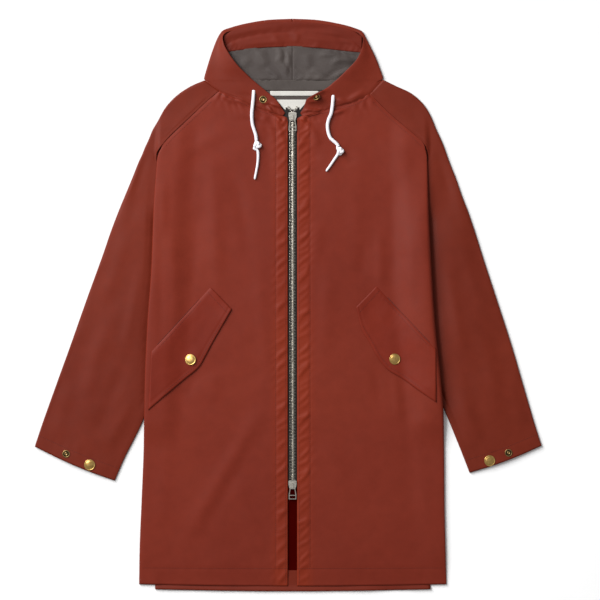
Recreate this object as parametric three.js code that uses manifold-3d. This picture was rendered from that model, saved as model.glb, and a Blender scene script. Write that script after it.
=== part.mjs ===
// Hooded raincoat, zipped up and laid on its back. Millimetres, +Z up from the table.
// While it is built, x is measured from the zip and y from the front hem towards the hood.
// At the end the whole coat is centred on the origin. Left and right are the wearer's,
// so the wearer's left side has positive x. Side tables give distances from the zip.
import * as THREE from 'three';
import { mergeVertices } from 'three/addons/utils/BufferGeometryUtils.js';
import Module from 'manifold-3d';

const wasm = await Module();
wasm.setup();

// Cloth
const WALL = 1.2;
const LINING_WALL = 1.0;
const SEAM_GAP = 0.3;
const HALF_GAP = 0.25;
const FOLD_STEPS = 4;

// Heights of the middle of each wall above the table, where layers lie on each other
const TABLE_LEVEL = WALL / 2;
const SLEEVE_TOP_LEVEL = 3.4;
const LIFTED_BACK_LEVEL = 5.0;
const FRONT_ABOVE_BACK = 2.8;
const INSIDE_LEVEL = 2.0;
const TRIM_LEVEL = 3.4;

// Body
const FRONT_LENGTH_TO_ZIP_TOP = 838;
const FRONT_EDGE = 8.3;
const HEM_SAG = 3.6;
const BACK_HEM_DROP = 9;
const BACK_HEM_SAG = 3.6;
const ARMPIT = 640;
const FOLD_START = 779;
const WEDGE = 303;
const SIDE_WRAP = 28;
const SMALL_WRAP = 6;
const LIFT_RAMP = 42;
const NAPE = 890.3;
const NAPE_RISE = 16;
const NECK_SIDE = 158;

// Distance of the side fold from the zip, up the coat
const SIDE_FOLD = [
  { y: 0, right: 275.4, left: 276.5 },
  { y: 60, right: 274.5, left: 275 },
  { y: 150, right: 270.9, left: 273 },
  { y: 240, right: 267.3, left: 272.3 },
  { y: 305, right: 266, left: 270.9 },
  { y: 370, right: 264.8, left: 265.6 },
  { y: 470, right: 260.3, left: 255.6 },
  { y: 565, right: 253.4, left: 249.3 },
  { y: 690, right: 248.4, left: 243.5 },
  { y: 779, right: 241.6, left: 241.2 },
  { y: 840, right: 238.5, left: 238.8 },
  { y: 863, right: 237.5, left: 236 },
];

// Front raglan seam, from the side fold up to the neck
const RAGLAN_SEAM = [
  { y: 779, right: 239, left: 241 },
  { y: 793, right: 231, left: 234.5 },
  { y: 807, right: 219, left: 220.5 },
  { y: 829, right: 196, left: 194.6 },
  { y: 851.5, right: 172, left: 169.2 },
  { y: 870.5, right: 151.7, left: 150.4 },
  { y: 888, right: 131.5, left: 134 },
];

// Back raglan seam, straight from the armpit up to the nape
const BACK_RAGLAN = [
  { y: 640, x: 223 },
  { y: 898, x: 110 },
];

// Seam of fronts and sleeves to the hood, from the top of the zip to the side of the neck
const NECK_SEAM = {
  right: [
    { x: 8.5, y: 838.5 }, { x: 16.5, y: 842.6 }, { x: 27, y: 845 }, { x: 44, y: 851.5 },
    { x: 64.8, y: 858.6 }, { x: 95, y: 872.1 }, { x: 131.5, y: 887.5 }, { x: 158.4, y: 906.5 },
  ],
  left: [
    { x: 8.5, y: 838.5 }, { x: 17, y: 842.4 }, { x: 31, y: 846 }, { x: 50, y: 851.5 },
    { x: 72, y: 857 }, { x: 114.3, y: 869 }, { x: 138.5, y: 882.2 }, { x: 162.5, y: 908 },
  ],
};

// Sleeve sections from the neck to the cuff: the inner end of the upper wall, the outer
// fold, and the height on the coat at which the lower wall ends. closed is 1 where the
// sleeve is a tube; above that its lower wall ends at the back raglan seam.
const SLEEVE_ROWS = {
  right: [
    { inX: 132.2, inY: 887.2, outX: 158.4, outY: 905.6, endY: 897, closed: 0 },
    { inX: 152.3, inY: 870.5, outX: 178, outY: 897.6, endY: 882, closed: 0 },
    { inX: 172.6, inY: 851.5, outX: 206, outY: 880, endY: 852, closed: 0 },
    { inX: 196.6, inY: 829, outX: 228, outY: 857, endY: 830, closed: 0 },
    { inX: 219.6, inY: 807, outX: 241.6, outY: 833, endY: 809, closed: 0 },
    { inX: 231.7, inY: 793, outX: 251, outY: 817, endY: 796, closed: 0 },
    { inX: 239.5, inY: 783, outX: 258.5, outY: 799, endY: 785, closed: 0 },
    { inX: 244.4, inY: 773, outX: 265, outY: 785, endY: 774, closed: 0 },
    { inX: 244.6, inY: 764, outX: 270, outY: 772.5, endY: 762, closed: 0 },
    { inX: 239, inY: 750, outX: 276, outY: 759.5, endY: 747, closed: 0 },
    { inX: 233.5, inY: 720, outX: 289, outY: 727, endY: 718, closed: 0 },
    { inX: 227, inY: 680, outX: 299, outY: 703, endY: 678, closed: 0 },
    { inX: 226.5, inY: 638, outX: 313, outY: 669, closed: 1 },
    { inX: 226, inY: 600, outX: 327, outY: 632, closed: 1 },
    { inX: 221, inY: 560, outX: 340, outY: 594, closed: 1 },
    { inX: 225, inY: 470, outX: 369, outY: 514, closed: 1 },
    { inX: 243, inY: 380, outX: 399, outY: 429, closed: 1 },
    { inX: 266, inY: 303, outX: 425, outY: 357, closed: 1 },
    { inX: 304, inY: 224, outX: 451, outY: 284, closed: 1 },
    { inX: 320.2, inY: 186.5, outX: 463.1, outY: 247.5, closed: 1 },
  ],
  left: [
    { inX: 139.4, inY: 881.8, outX: 162.5, outY: 907, endY: 897, closed: 0 },
    { inX: 151, inY: 870.5, outX: 185, outY: 896, endY: 882, closed: 0 },
    { inX: 169.8, inY: 851.5, outX: 214, outY: 882, endY: 852, closed: 0 },
    { inX: 195.3, inY: 829, outX: 238.5, outY: 858.5, endY: 830, closed: 0 },
    { inX: 221.2, inY: 807, outX: 250.5, outY: 836.5, endY: 809, closed: 0 },
    { inX: 235.2, inY: 793, outX: 257.5, outY: 819, endY: 796, closed: 0 },
    { inX: 240.6, inY: 785, outX: 265, outY: 803, endY: 785, closed: 0 },
    { inX: 244.2, inY: 773, outX: 271.5, outY: 788, endY: 774, closed: 0 },
    { inX: 244.4, inY: 764, outX: 276, outY: 775, endY: 762, closed: 0 },
    { inX: 237, inY: 750, outX: 281, outY: 761, endY: 747, closed: 0 },
    { inX: 229.5, inY: 720, outX: 294.3, outY: 727, endY: 718, closed: 0 },
    { inX: 222.5, inY: 680, outX: 304, outY: 699, endY: 678, closed: 0 },
    { inX: 222, inY: 638, outX: 315.6, outY: 669, closed: 1 },
    { inX: 221.6, inY: 600, outX: 328.5, outY: 631, closed: 1 },
    { inX: 216, inY: 560, outX: 341, outY: 591, closed: 1 },
    { inX: 222, inY: 470, outX: 367.5, outY: 510, closed: 1 },
    { inX: 243, inY: 385, outX: 394, outY: 428, closed: 1 },
    { inX: 271, inY: 320, outX: 414.5, outY: 358, closed: 1 },
    { inX: 304.5, inY: 238, outX: 435.5, outY: 286.5, closed: 1 },
    { inX: 319, inY: 200.7, outX: 447.7, outY: 249.1, closed: 1 },
  ],
};
const CUFF_BOW = 3.5;

// Hood sections from the front of the neck up to the crown: the edge of the face opening,
// the outer fold or neck seam, and where the crown's wall ends at the nape. fold is 1 where
// the wall turns under into the crown.
const HOOD_ROWS = {
  right: [
    { rimX: 13.2, rimY: 847.4, outX: 16.5, outY: 842.85, napeX: 0, rimZ: 3.9, fold: 0 },
    { rimX: 20, rimY: 857, outX: 27, outY: 845.25, napeX: 0, rimZ: 5, fold: 0 },
    { rimX: 28.8, rimY: 870.5, outX: 44, outY: 851.75, napeX: 0, rimZ: 6, fold: 0 },
    { rimX: 40, rimY: 880.7, outX: 64.8, outY: 858.85, napeX: 0, rimZ: 6.2, fold: 0 },
    { rimX: 53, rimY: 891.4, outX: 95, outY: 872.35, napeX: 0, rimZ: 7, fold: 0 },
    { rimX: 63, rimY: 899.5, outX: 131.2, outY: 887.9, napeX: 0, rimZ: 7.6, fold: 0 },
    { rimX: 68.5, rimY: 904.2, outX: 152.6, outY: 903, napeX: 0, rimZ: 8, fold: 0 },
    { rimX: 72, rimY: 907, outX: 158.6, outY: 908.4, napeX: 156.4, rimZ: 8.2, fold: 1 },
    { rimX: 83, rimY: 917.5, outX: 156.5, outY: 918, napeX: 147, rimZ: 8.8, fold: 1 },
    { rimX: 94.5, rimY: 928.4, outX: 153.4, outY: 928.4, napeX: 136, rimZ: 9.2, fold: 1 },
    { rimX: 112, rimY: 950.4, outX: 147, outY: 949, napeX: 118, rimZ: 9, fold: 1 },
    { rimX: 122.9, rimY: 970.2, outX: 139.5, outY: 970, napeX: 100, rimZ: 8, fold: 1 },
    { rimX: 125.5, rimY: 982, outX: 132.6, outY: 985.5, napeX: 84, rimZ: 6.4, fold: 1 },
    { rimX: 121.6, rimY: 990.4, outX: 125, outY: 995.5, napeX: 68, rimZ: 4.8, fold: 1 },
    { rimX: 108.8, rimY: 995.8, outX: 110.7, outY: 1001, napeX: 52, rimZ: 3.6, fold: 1 },
    { rimX: 82.7, rimY: 1002.6, outX: 83.7, outY: 1008.1, napeX: 34, rimZ: 3.4, fold: 1 },
    { rimX: 38.5, rimY: 1009.4, outX: 38.7, outY: 1015, napeX: 16, rimZ: 3.4, fold: 1 },
    { rimX: 0.15, rimY: 1011.1, outX: 0.15, outY: 1016.6, napeX: 0.15, rimZ: 3.4, fold: 1 },
  ],
  left: [
    { rimX: 14, rimY: 847.4, outX: 17, outY: 842.65, napeX: 0, rimZ: 3.9, fold: 0 },
    { rimX: 20.5, rimY: 857.9, outX: 31, outY: 846.25, napeX: 0, rimZ: 5, fold: 0 },
    { rimX: 24.8, rimY: 870.5, outX: 50, outY: 851.75, napeX: 0, rimZ: 6, fold: 0 },
    { rimX: 39.4, rimY: 880.7, outX: 72, outY: 857.25, napeX: 0, rimZ: 7, fold: 0 },
    { rimX: 56, rimY: 888.6, outX: 114.3, outY: 869.3, napeX: 0, rimZ: 7, fold: 0 },
    { rimX: 66, rimY: 895.5, outX: 138.3, outY: 882.5, napeX: 0, rimZ: 7.6, fold: 0 },
    { rimX: 75, rimY: 903.5, outX: 156.3, outY: 901.9, napeX: 0, rimZ: 8, fold: 0 },
    { rimX: 80, rimY: 907.5, outX: 162.6, outY: 909.8, napeX: 157.6, rimZ: 8.2, fold: 1 },
    { rimX: 88, rimY: 915, outX: 160, outY: 918.5, napeX: 147, rimZ: 8.8, fold: 1 },
    { rimX: 95.2, rimY: 922, outX: 156.5, outY: 928, napeX: 136, rimZ: 9.2, fold: 1 },
    { rimX: 117, rimY: 945.9, outX: 149, outY: 947, napeX: 118, rimZ: 9, fold: 1 },
    { rimX: 125.4, rimY: 966.5, outX: 139, outY: 968, napeX: 100, rimZ: 8, fold: 1 },
    { rimX: 127.2, rimY: 980, outX: 131.6, outY: 982.5, napeX: 84, rimZ: 6.4, fold: 1 },
    { rimX: 121, rimY: 989.4, outX: 125.4, outY: 993.5, napeX: 68, rimZ: 4.8, fold: 1 },
    { rimX: 107.2, rimY: 995.8, outX: 108.9, outY: 1001, napeX: 52, rimZ: 3.6, fold: 1 },
    { rimX: 81, rimY: 1002.6, outX: 81.9, outY: 1008.1, napeX: 34, rimZ: 3.4, fold: 1 },
    { rimX: 36.7, rimY: 1009.4, outX: 36.9, outY: 1015.1, napeX: 16, rimZ: 3.4, fold: 1 },
    { rimX: 0.15, rimY: 1011.1, outX: 0.15, outY: 1016.6, napeX: 0.15, rimZ: 3.4, fold: 1 },
  ],
};
const HOOD_FOLD_TOP = 5.6;

// Below the fold the strip beside the opening comes down to the neck seam: how far across
// it its last part starts, and how much of the way down it is there
const STRIP_EDGE_SHARE = 0.9;
const STRIP_SEAM_SHARE = 0.96;

// Inside of the hood, across the coat: x is signed here. top and seam bound the red facing.
const FACING_COLUMNS = [
  { x: -124, top: 984, seam: 958 },
  { x: -108, top: 994.5, seam: 959.6 },
  { x: -83, top: 1001.6, seam: 963 },
  { x: -42, top: 1008.6, seam: 966.6 },
  { x: 0, top: 1010.8, seam: 967.6 },
  { x: 42, top: 1008.6, seam: 965.6 },
  { x: 81, top: 1001.6, seam: 961.6 },
  { x: 108, top: 994.5, seam: 958.6 },
  { x: 125, top: 983, seam: 957 },
];
const LINING_FOOT = 906.8;
const LINING_HALF_WIDTH = 126;
const LINING_STEPS = 5;
const STRIP_STEPS = 6;
const BAND_FOOT = 887.6;
const BAND_HALF_WIDTH = 92;
const YOKE_FOOT = 843;
const YOKE_HALF_WIDTH = 62;
const TAPE = { left: -40, right: 47, foot: 878.2, head: 887 };
const LABEL = { left: -28, right: 25, foot: 853.6, head: 871.5, narrowFrom: 14, slope: 1.2 };

// Pocket flaps: each row joins the sewn edge to the free edge, from the front to the side
const FLAP_GAP = 0.85;
const FLAP_STEPS = 4;
const FLAP_FROM_FOLD = 3;
const FLAP_ROWS = {
  right: [
    { sewnX: 148, sewnY: 535, freeX: 109.4, freeY: 495 },
    { sewnX: 169, sewnY: 512, freeX: 126, freeY: 465.6 },
    { sewnX: 190, sewnY: 489, freeX: 142.6, freeY: 436.5 },
    { sewnX: 207, sewnY: 470.5, freeX: 156.4, freeY: 410.8 },
    { sewnX: 220, sewnY: 456.3, freeX: 167.4, freeY: 391.5 },
    { sewnX: 231, sewnY: 444.3, freeX: 195.8, freeY: 367.2 },
    { sewnX: 242, sewnY: 432.3, freeX: 227, freeY: 341 },
    { sewnX: 253.4, sewnY: 419.8, freeX: 258.8, freeY: 313.4 },
  ],
  left: [
    { sewnX: 151.9, sewnY: 536.8, freeX: 114.6, freeY: 499 },
    { sewnX: 172, sewnY: 515, freeX: 124.4, freeY: 459 },
    { sewnX: 192, sewnY: 493.5, freeX: 139.9, freeY: 432.5 },
    { sewnX: 208, sewnY: 476.5, freeX: 153.5, freeY: 406.8 },
    { sewnX: 221, sewnY: 462.5, freeX: 170.8, freeY: 386.1 },
    { sewnX: 233, sewnY: 449.5, freeX: 196, freeY: 370.8 },
    { sewnX: 245, sewnY: 436.8, freeX: 226, freeY: 349 },
    { sewnX: 256.6, sewnY: 424.5, freeX: 258, freeY: 327.5 },
  ],
};

// Zip
const ZIP_BOTTOM = 171.5;
const SLIDER_LENGTH = 15.6;
const SLIDER_WIDTH = 14.4;
const SLIDER_FOOT = 2.8;
const SLIDER_TOP = 6.2;
const CHAIN_WIDTH = 11;
const CHAIN_TOP = 5.2;
const ZIP_TOP_SLIDER = 833.4;

// Edges of a zip tape, up the coat. Below the slider its inner edge is hidden by the front.
const TAPE_ROWS = [
  { y: ZIP_BOTTOM - 20, inner: 10.5, outer: 18 },
  { y: ZIP_BOTTOM, inner: 9, outer: 18 },
  { y: ZIP_BOTTOM + 7, inner: 1, outer: 18 },
  { y: 500, inner: 1, outer: 18 },
  { y: 828, inner: 1, outer: 18 },
  { y: 839, inner: 1.4, outer: 17 },
];

// Stops above the top slider
const STOP = { x: 5.4, width: 3.6, foot: 4.25, top: 6.2, length: 4 };
const BAR_BEVEL = 1.2;
const PULL_LENGTH = 22;
const PULL_WIDTH = 13.4;
const PULL_NECK_WIDTH = 8.8;
const PULL_BAR = 1.3;
const PULL_THICKNESS = 1.6;
const PIVOT_FROM_SLIDER_FOOT = 2.7;
const PIVOT_Z = 7.75;
const BRIDGE_WIDTH = 3;
const SLIDER_NOSE_SHARE = 0.72;
const SLIDER_SHOULDER_SHARE = 0.55;
const SLIDER_CORNER = { across: 2, along: 1.5 };

// A slider's bridge from the side: distance from the slider's foot, height above its plate
const BRIDGE_OUTLINE = [[0.5, -1], [11, -1], [11, 2.4], [9.6, 3.9], [2, 3.9], [0.5, 2.6]];
const BRIDGE_HOLE = [[1.3, 0.2], [1.3, 2.4], [2.2, 2.9], [8.6, 2.9], [9.6, 1.9], [9.6, 0.2]];

// A pull's frame, in shares of its length: where it is widest and where its cross bar is
const PULL_WIDEST_SHARE = 0.6;
const PULL_BAR_SHARE = 0.64;
const TOP_PULL_TILT = 3.5;
const BOTTOM_PULL_TILT = 8;

// Snaps
const CAP_RADIUS = 10;
const CAP_HEIGHT = 3;
const STUD_RADIUS = 6.8;
const STUD_HEIGHT = 2.4;
const SNAP_SIDES = 14;

// Half outline of a snap, in shares of its radius and its height
const SNAP_PROFILE = [[0, 0], [0.92, 0], [1, 0.35], [0.78, 0.82], [0.4, 1], [0, 1]];

// Neck snaps: their places on the front strips of the hood
const NECK_STUD = { x: -52.9, y: 871.5, foot: 7 };
const NECK_CAP = { x: 44.5, y: 873.5, foot: 7.9, tilt: -0.08 };

// Drawcord: points chosen by hand along each free stretch, from the hood down. Each stretch
// meets its knot at the end of the short straight piece inside the knot.
const CORD_DIAMETER = 6;
const CORD_TIP_DIAMETER = 4.4;
const CORD_SIDES = 10;
const CORD_LIFT = 0.35;
const CORDS = {
  right: {
    upper: [
      [-69.7, 887.5], [-70, 880], [-70.6, 872], [-71.8, 860], [-72.8, 850], [-73, 838],
      [-71.6, 826], [-68.4, 815.5], [-65.8, 807],
    ],
    knot: { x: -63.6, y: 789, into: [0.13, -0.99], out: [0.13, -0.99] },
    tail: [[-61.8, 770], [-62.6, 757], [-65, 743], [-68, 728]],
  },
  left: {
    upper: [
      [73.1, 878.5], [72.6, 870], [71.4, 858], [69.4, 846], [65.5, 837], [63, 826],
      [64, 814], [67.8, 803], [72.6, 798], [77.3, 794],
    ],
    knot: { x: 85.5, y: 779.4, into: [0.39, -0.92], out: [-0.55, -0.835] },
    tail: [[74.7, 763.2], [67.5, 752.4], [60.3, 742.5]],
  },
};
const CORD_LEAD = 3;
const STRIP_TOP = 8.1;
const STRIP_FROM = 855;
const STRIP_TO = 880;

// Knots: the length of the straight pieces inside, and the two turns of cord round them
const KNOT_LENGTH = 16;
const KNOT_LIFT = 1.2;
const KNOT_OVERLAP = 1;
const KNOT_TURN_RADIUS = 2.9;
const KNOT_TURN_CORD = 2.75;
const KNOT_SQUASH = 0.8;
const KNOT_FIRST_STRETCH = [1, 1.1, KNOT_SQUASH];
const KNOT_SECOND_STRETCH = [1.25, 1.33, KNOT_SQUASH];
const KNOT_SECOND_TILT = 69;
const KNOT_SECOND_TWIST = 63;

const SIDES = { right: -1, left: 1 };

function paint(color, roughness, metalness = 0) {
  return new THREE.MeshStandardMaterial({ color, roughness, metalness });
}

// Finishes
const RED_CLOTH = paint(0x84382a, 0.62);
const GREY_LINING = paint(0x5c524f, 0.7);
const WHITE_TAPE = paint(0xe1e0d9, 0.8);
const BLACK_TAPE = paint(0x1c1a19, 0.85);
const WHITE_CORD = paint(0xf1eef4, 0.9);
const BRASS = paint(0xa8814a, 0.35, 0.9);
const DARK_BRASS = paint(0x6b5632, 0.35, 0.9);
const NICKEL = paint(0xb9b5ad, 0.3, 0.9);
const DARK_CHAIN = paint(0x2c2926, 0.35, 0.85);

const clamp = (value) => Math.min(1, Math.max(0, value));
const mix = (from, to, share) => from + (to - from) * share;

function smooth(low, high, value) {
  const share = clamp((value - low) / (high - low));
  return share * share * (3 - 2 * share);
}

// Reads one column of a table at a place between its rows
function read(table, column, place, key = 'y') {
  const last = table.length - 1;
  let row = 0;
  while (row < last - 1 && place > table[row + 1][key]) {
    row += 1;
  }
  const share = clamp((place - table[row][key]) / (table[row + 1][key] - table[row][key]));
  return mix(table[row][column], table[row + 1][column], share);
}

// Rows shared by the fronts and the back below the armpit, and the fronts' uppermost row
const SIDE_HEIGHTS = [0, 60, 150, 240, 265, 285, 305, 335, 370, 420, 470, 565, 600, ARMPIT];
const TOP_ROW = { right: 884.5, left: 878.5 };

// Columns of a front's grid, closer together towards the side fold, and where the fold
// opens out flat into the raglan seam
const FRONT_STEPS = 10;
const FRONT_CROWDING = 1.35;
const WRAP_STEPS = 3;
const EDGE_STRIP = 5;
const FOLD_OUT_BELOW = 14;
const FOLD_OUT_ABOVE = 11;

// Columns of the back's grid, closer together over the sleeves
const BACK_STEPS = 20;
const BACK_CROWDING = 0.045;

// Columns of a sleeve's grid, and the width that turns round its underarm fold
const UPPER_STEPS = 8;
const LOWER_STEPS = 6;
const UNDERARM_TURN = 5;
const BEFORE_FOLD = 2;

// Columns of a hood half's grid
const HOOD_SIDE_STEPS = 5;
const HOOD_CROWN_STEPS = 6;

const foldX = (side, y) => read(SIDE_FOLD, side, y);
const wrapWidth = (y) => mix(SIDE_WRAP, SMALL_WRAP, smooth(ARMPIT, FOLD_START - 9, y));
const napeLine = (x) => NAPE + NAPE_RISE * (x / NECK_SIDE) ** 2;
const sideOf = (x) => (x < 0 ? 'right' : 'left');

// Inner edge of the part of the sleeve that is tucked under the body
function tuckX(side, y) {
  const rows = SLEEVE_ROWS[side].filter((row) => row.inY < FOLD_START - 10).reverse();
  return read(rows, 'inX', y, 'inY');
}

// Middle of the back panel and of the fronts' wrap: up over the sleeves at the sides
function backLevel(x, y) {
  const edge = Math.min(tuckX(sideOf(x), y), foldX(sideOf(x), y) - SIDE_WRAP);
  const across = smooth(edge - LIFT_RAMP, edge - 5, Math.abs(x));
  const above = 1 - smooth(FOLD_START + 2, FOLD_START + 75, y);
  const below = smooth(WEDGE - 62, WEDGE - 6, y);
  return mix(TABLE_LEVEL, LIFTED_BACK_LEVEL, across * above * below);
}

// The back panel itself lies on the table again above the armpit
function backPanelLevel(x, y) {
  const lifted = 1 - smooth(ARMPIT - 45, ARMPIT - 8, y);
  return mix(TABLE_LEVEL, backLevel(x, y), lifted);
}

const frontLevel = (x, y) => backLevel(x, y) + FRONT_ABOVE_BACK;

// The sleeve's upper wall: level with the front at the raglan seam, down beyond the fold
function sleeveLevel(x, y) {
  const fold = foldX(sideOf(x), y);
  const inside = 1 - smooth(fold - 3, fold + 8, Math.abs(x));
  const above = smooth(FOLD_START - 15, FOLD_START + 4, y);
  return mix(SLEEVE_TOP_LEVEL, frontLevel(x, y), inside * above);
}

// A closed wall of cloth around a grid of middle points
function sheet(name, material, grid, wall = WALL) {
  const rows = grid.length;
  const columns = grid[0].length;
  const point = (i, j) => grid[Math.min(rows - 1, Math.max(0, i))][
    Math.min(columns - 1, Math.max(0, j))];
  const positions = [];
  for (const sign of [1, -1]) {
    for (let i = 0; i < rows; i += 1) {
      for (let j = 0; j < columns; j += 1) {
        const along = new THREE.Vector3().subVectors(point(i + 1, j), point(i - 1, j));
        const across = new THREE.Vector3().subVectors(point(i, j + 1), point(i, j - 1));
        const normal = across.cross(along).normalize();
        const corner = grid[i][j].clone().addScaledVector(normal, (sign * wall) / 2);
        positions.push(corner.x, corner.y, corner.z);
      }
    }
  }
  const at = (layer, i, j) => layer * rows * columns + i * columns + j;
  const faces = [];
  const quad = (a, b, c, d) => faces.push(a, b, c, a, c, d);
  for (let i = 0; i < rows - 1; i += 1) {
    for (let j = 0; j < columns - 1; j += 1) {
      quad(at(0, i, j), at(0, i, j + 1), at(0, i + 1, j + 1), at(0, i + 1, j));
      quad(at(1, i, j), at(1, i + 1, j), at(1, i + 1, j + 1), at(1, i, j + 1));
    }
  }
  const rim = [];
  for (let j = 0; j < columns - 1; j += 1) {
    rim.push([0, j]);
  }
  for (let i = 0; i < rows - 1; i += 1) {
    rim.push([i, columns - 1]);
  }
  for (let j = columns - 1; j > 0; j -= 1) {
    rim.push([rows - 1, j]);
  }
  for (let i = rows - 1; i > 0; i -= 1) {
    rim.push([i, 0]);
  }
  rim.forEach(([i, j], index) => {
    const [nextI, nextJ] = rim[(index + 1) % rim.length];
    quad(at(1, i, j), at(1, nextI, nextJ), at(0, nextI, nextJ), at(0, i, j));
  });
  return closedMesh(name, material, positions, faces);
}

// Makes the mesh, and turns its faces if they point inwards
function closedMesh(name, material, positions, faces) {
  let volume = 0;
  const corner = (index) => new THREE.Vector3().fromArray(positions, index * 3);
  for (let face = 0; face < faces.length; face += 3) {
    const [a, b, c] = [corner(faces[face]), corner(faces[face + 1]), corner(faces[face + 2])];
    volume += a.dot(b.cross(c));
  }
  const geometry = new THREE.BufferGeometry();
  geometry.setAttribute('position', new THREE.Float32BufferAttribute(positions, 3));
  geometry.setIndex(volume > 0 ? faces : faces.slice().reverse());
  geometry.computeVertexNormals();
  const mesh = new THREE.Mesh(geometry, material);
  mesh.name = name;
  return mesh;
}

// Half circle of a fold that turns down and inwards at x = outer, seen along the coat
function foldArc(outer, top, bottom) {
  const radius = (top - bottom) / 2;
  const arc = [];
  for (let step = 0; step <= FOLD_STEPS; step += 1) {
    const angle = Math.PI / 2 - (Math.PI * step) / FOLD_STEPS;
    const reach = outer - radius + radius * Math.cos(angle);
    arc.push({ reach, z: bottom + radius + radius * Math.sin(angle) });
  }
  return arc;
}

// Points of the fronts' upper walls, for what lies on them
const frontGrids = {};

// One front panel: down from the neck to the hem, round the side fold to the side seam
function front(side) {
  const sign = SIDES[side];
  const neckRows = NECK_SEAM[side].map((row) => row.y).filter((y) => y < TOP_ROW[side] - 3);
  const heights = [
    ...SIDE_HEIGHTS, 690, 735, 764, FOLD_START, 793, 807, 829, ...neckRows, TOP_ROW[side],
  ];
  const grid = heights.map((y) => {
    const sag = y === 0 ? HEM_SAG : 0;
    const onNeck = y > FRONT_LENGTH_TO_ZIP_TOP;
    const neckX = read(NECK_SEAM[side], 'x', y + HALF_GAP) + 2 * HALF_GAP;
    const inner = onNeck ? neckX : FRONT_EDGE;
    const seam = read(RAGLAN_SEAM, side, y) - 2 * HALF_GAP;
    const flat = smooth(FOLD_START - FOLD_OUT_BELOW, FOLD_START + FOLD_OUT_ABOVE, y);
    const outer = foldX(side, y);
    const top = frontLevel(sign * outer, y);
    const bottom = backLevel(sign * outer, y);
    const arc = foldArc(outer, top, bottom);
    const edge = mix(arc[0].reach, seam - EDGE_STRIP, flat);
    const path = [];
    for (let step = 0; step < FRONT_STEPS; step += 1) {
      const x = mix(inner, edge, 1 - (1 - step / FRONT_STEPS) ** FRONT_CROWDING);
      path.push({ x, z: frontLevel(sign * x, y) });
    }
    const under = [];
    for (let step = 1; step <= WRAP_STEPS; step += 1) {
      const reach = mix(arc[FOLD_STEPS].reach, outer - wrapWidth(y), step / WRAP_STEPS);
      under.push({ reach, z: backLevel(sign * reach, y) });
    }
    const turned = [...arc, ...under];
    turned.forEach((place, index) => {
      const flatX = mix(seam - EDGE_STRIP, seam, index / (turned.length - 1));
      const flatZ = frontLevel(sign * flatX, y);
      path.push({ x: mix(place.reach, flatX, flat), z: mix(place.z, flatZ, flat) });
    });
    return path.map(({ x, z }) => {
      const droop = sag * (1 - (x / outer) ** 2);
      return new THREE.Vector3(sign * x, y - droop, z);
    });
  });
  frontGrids[side] = grid.map((row) => row.slice(0, FRONT_STEPS + 1));
  return sheet(`front_${side}`, RED_CLOTH, grid);
}

// Height of the middle of a front's wall, between the points it is made of
function onFront(x, y) {
  const grid = frontGrids[sideOf(x)];
  let i = 0;
  while (i < grid.length - 2 && grid[i + 1][0].y < y) {
    i += 1;
  }
  const share = clamp((y - grid[i][0].y) / (grid[i + 1][0].y - grid[i][0].y));
  const row = grid[i].map((spot, j) => ({
    x: Math.abs(mix(spot.x, grid[i + 1][j].x, share)),
    z: mix(spot.z, grid[i + 1][j].z, share),
  }));
  return read(row, 'z', Math.abs(x), 'x');
}

// The back panel, with its edges at the side seams and back raglan seams
function back() {
  const heights = [
    -BACK_HEM_DROP, ...SIDE_HEIGHTS.slice(1, -1), 618, ARMPIT - 6, ARMPIT + 4, 740, NAPE,
  ];
  const edgeAt = (side, y) => {
    if (y > ARMPIT) {
      return read(BACK_RAGLAN, 'x', y) - SEAM_GAP;
    }
    return foldX(side, Math.max(0, y)) - wrapWidth(y) - SEAM_GAP;
  };
  const grid = heights.map((y) => {
    const seamTop = y === NAPE ? napeLine(BACK_RAGLAN[1].x) : y;
    const from = -edgeAt('right', seamTop);
    const to = edgeAt('left', seamTop);
    const row = [];
    for (let step = 0; step <= BACK_STEPS; step += 1) {
      const share = step / BACK_STEPS;
      const x = mix(from, to, share - BACK_CROWDING * Math.sin(4 * Math.PI * share));
      const hem = y < 0 ? BACK_HEM_SAG * (1 - (x / to) ** 2) : 0;
      const nape = y === NAPE ? napeLine(x) - NAPE : 0;
      row.push(new THREE.Vector3(x, y - hem + nape, backPanelLevel(x, Math.max(0, y))));
    }
    return row;
  });
  return sheet('back', RED_CLOTH, grid);
}

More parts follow.
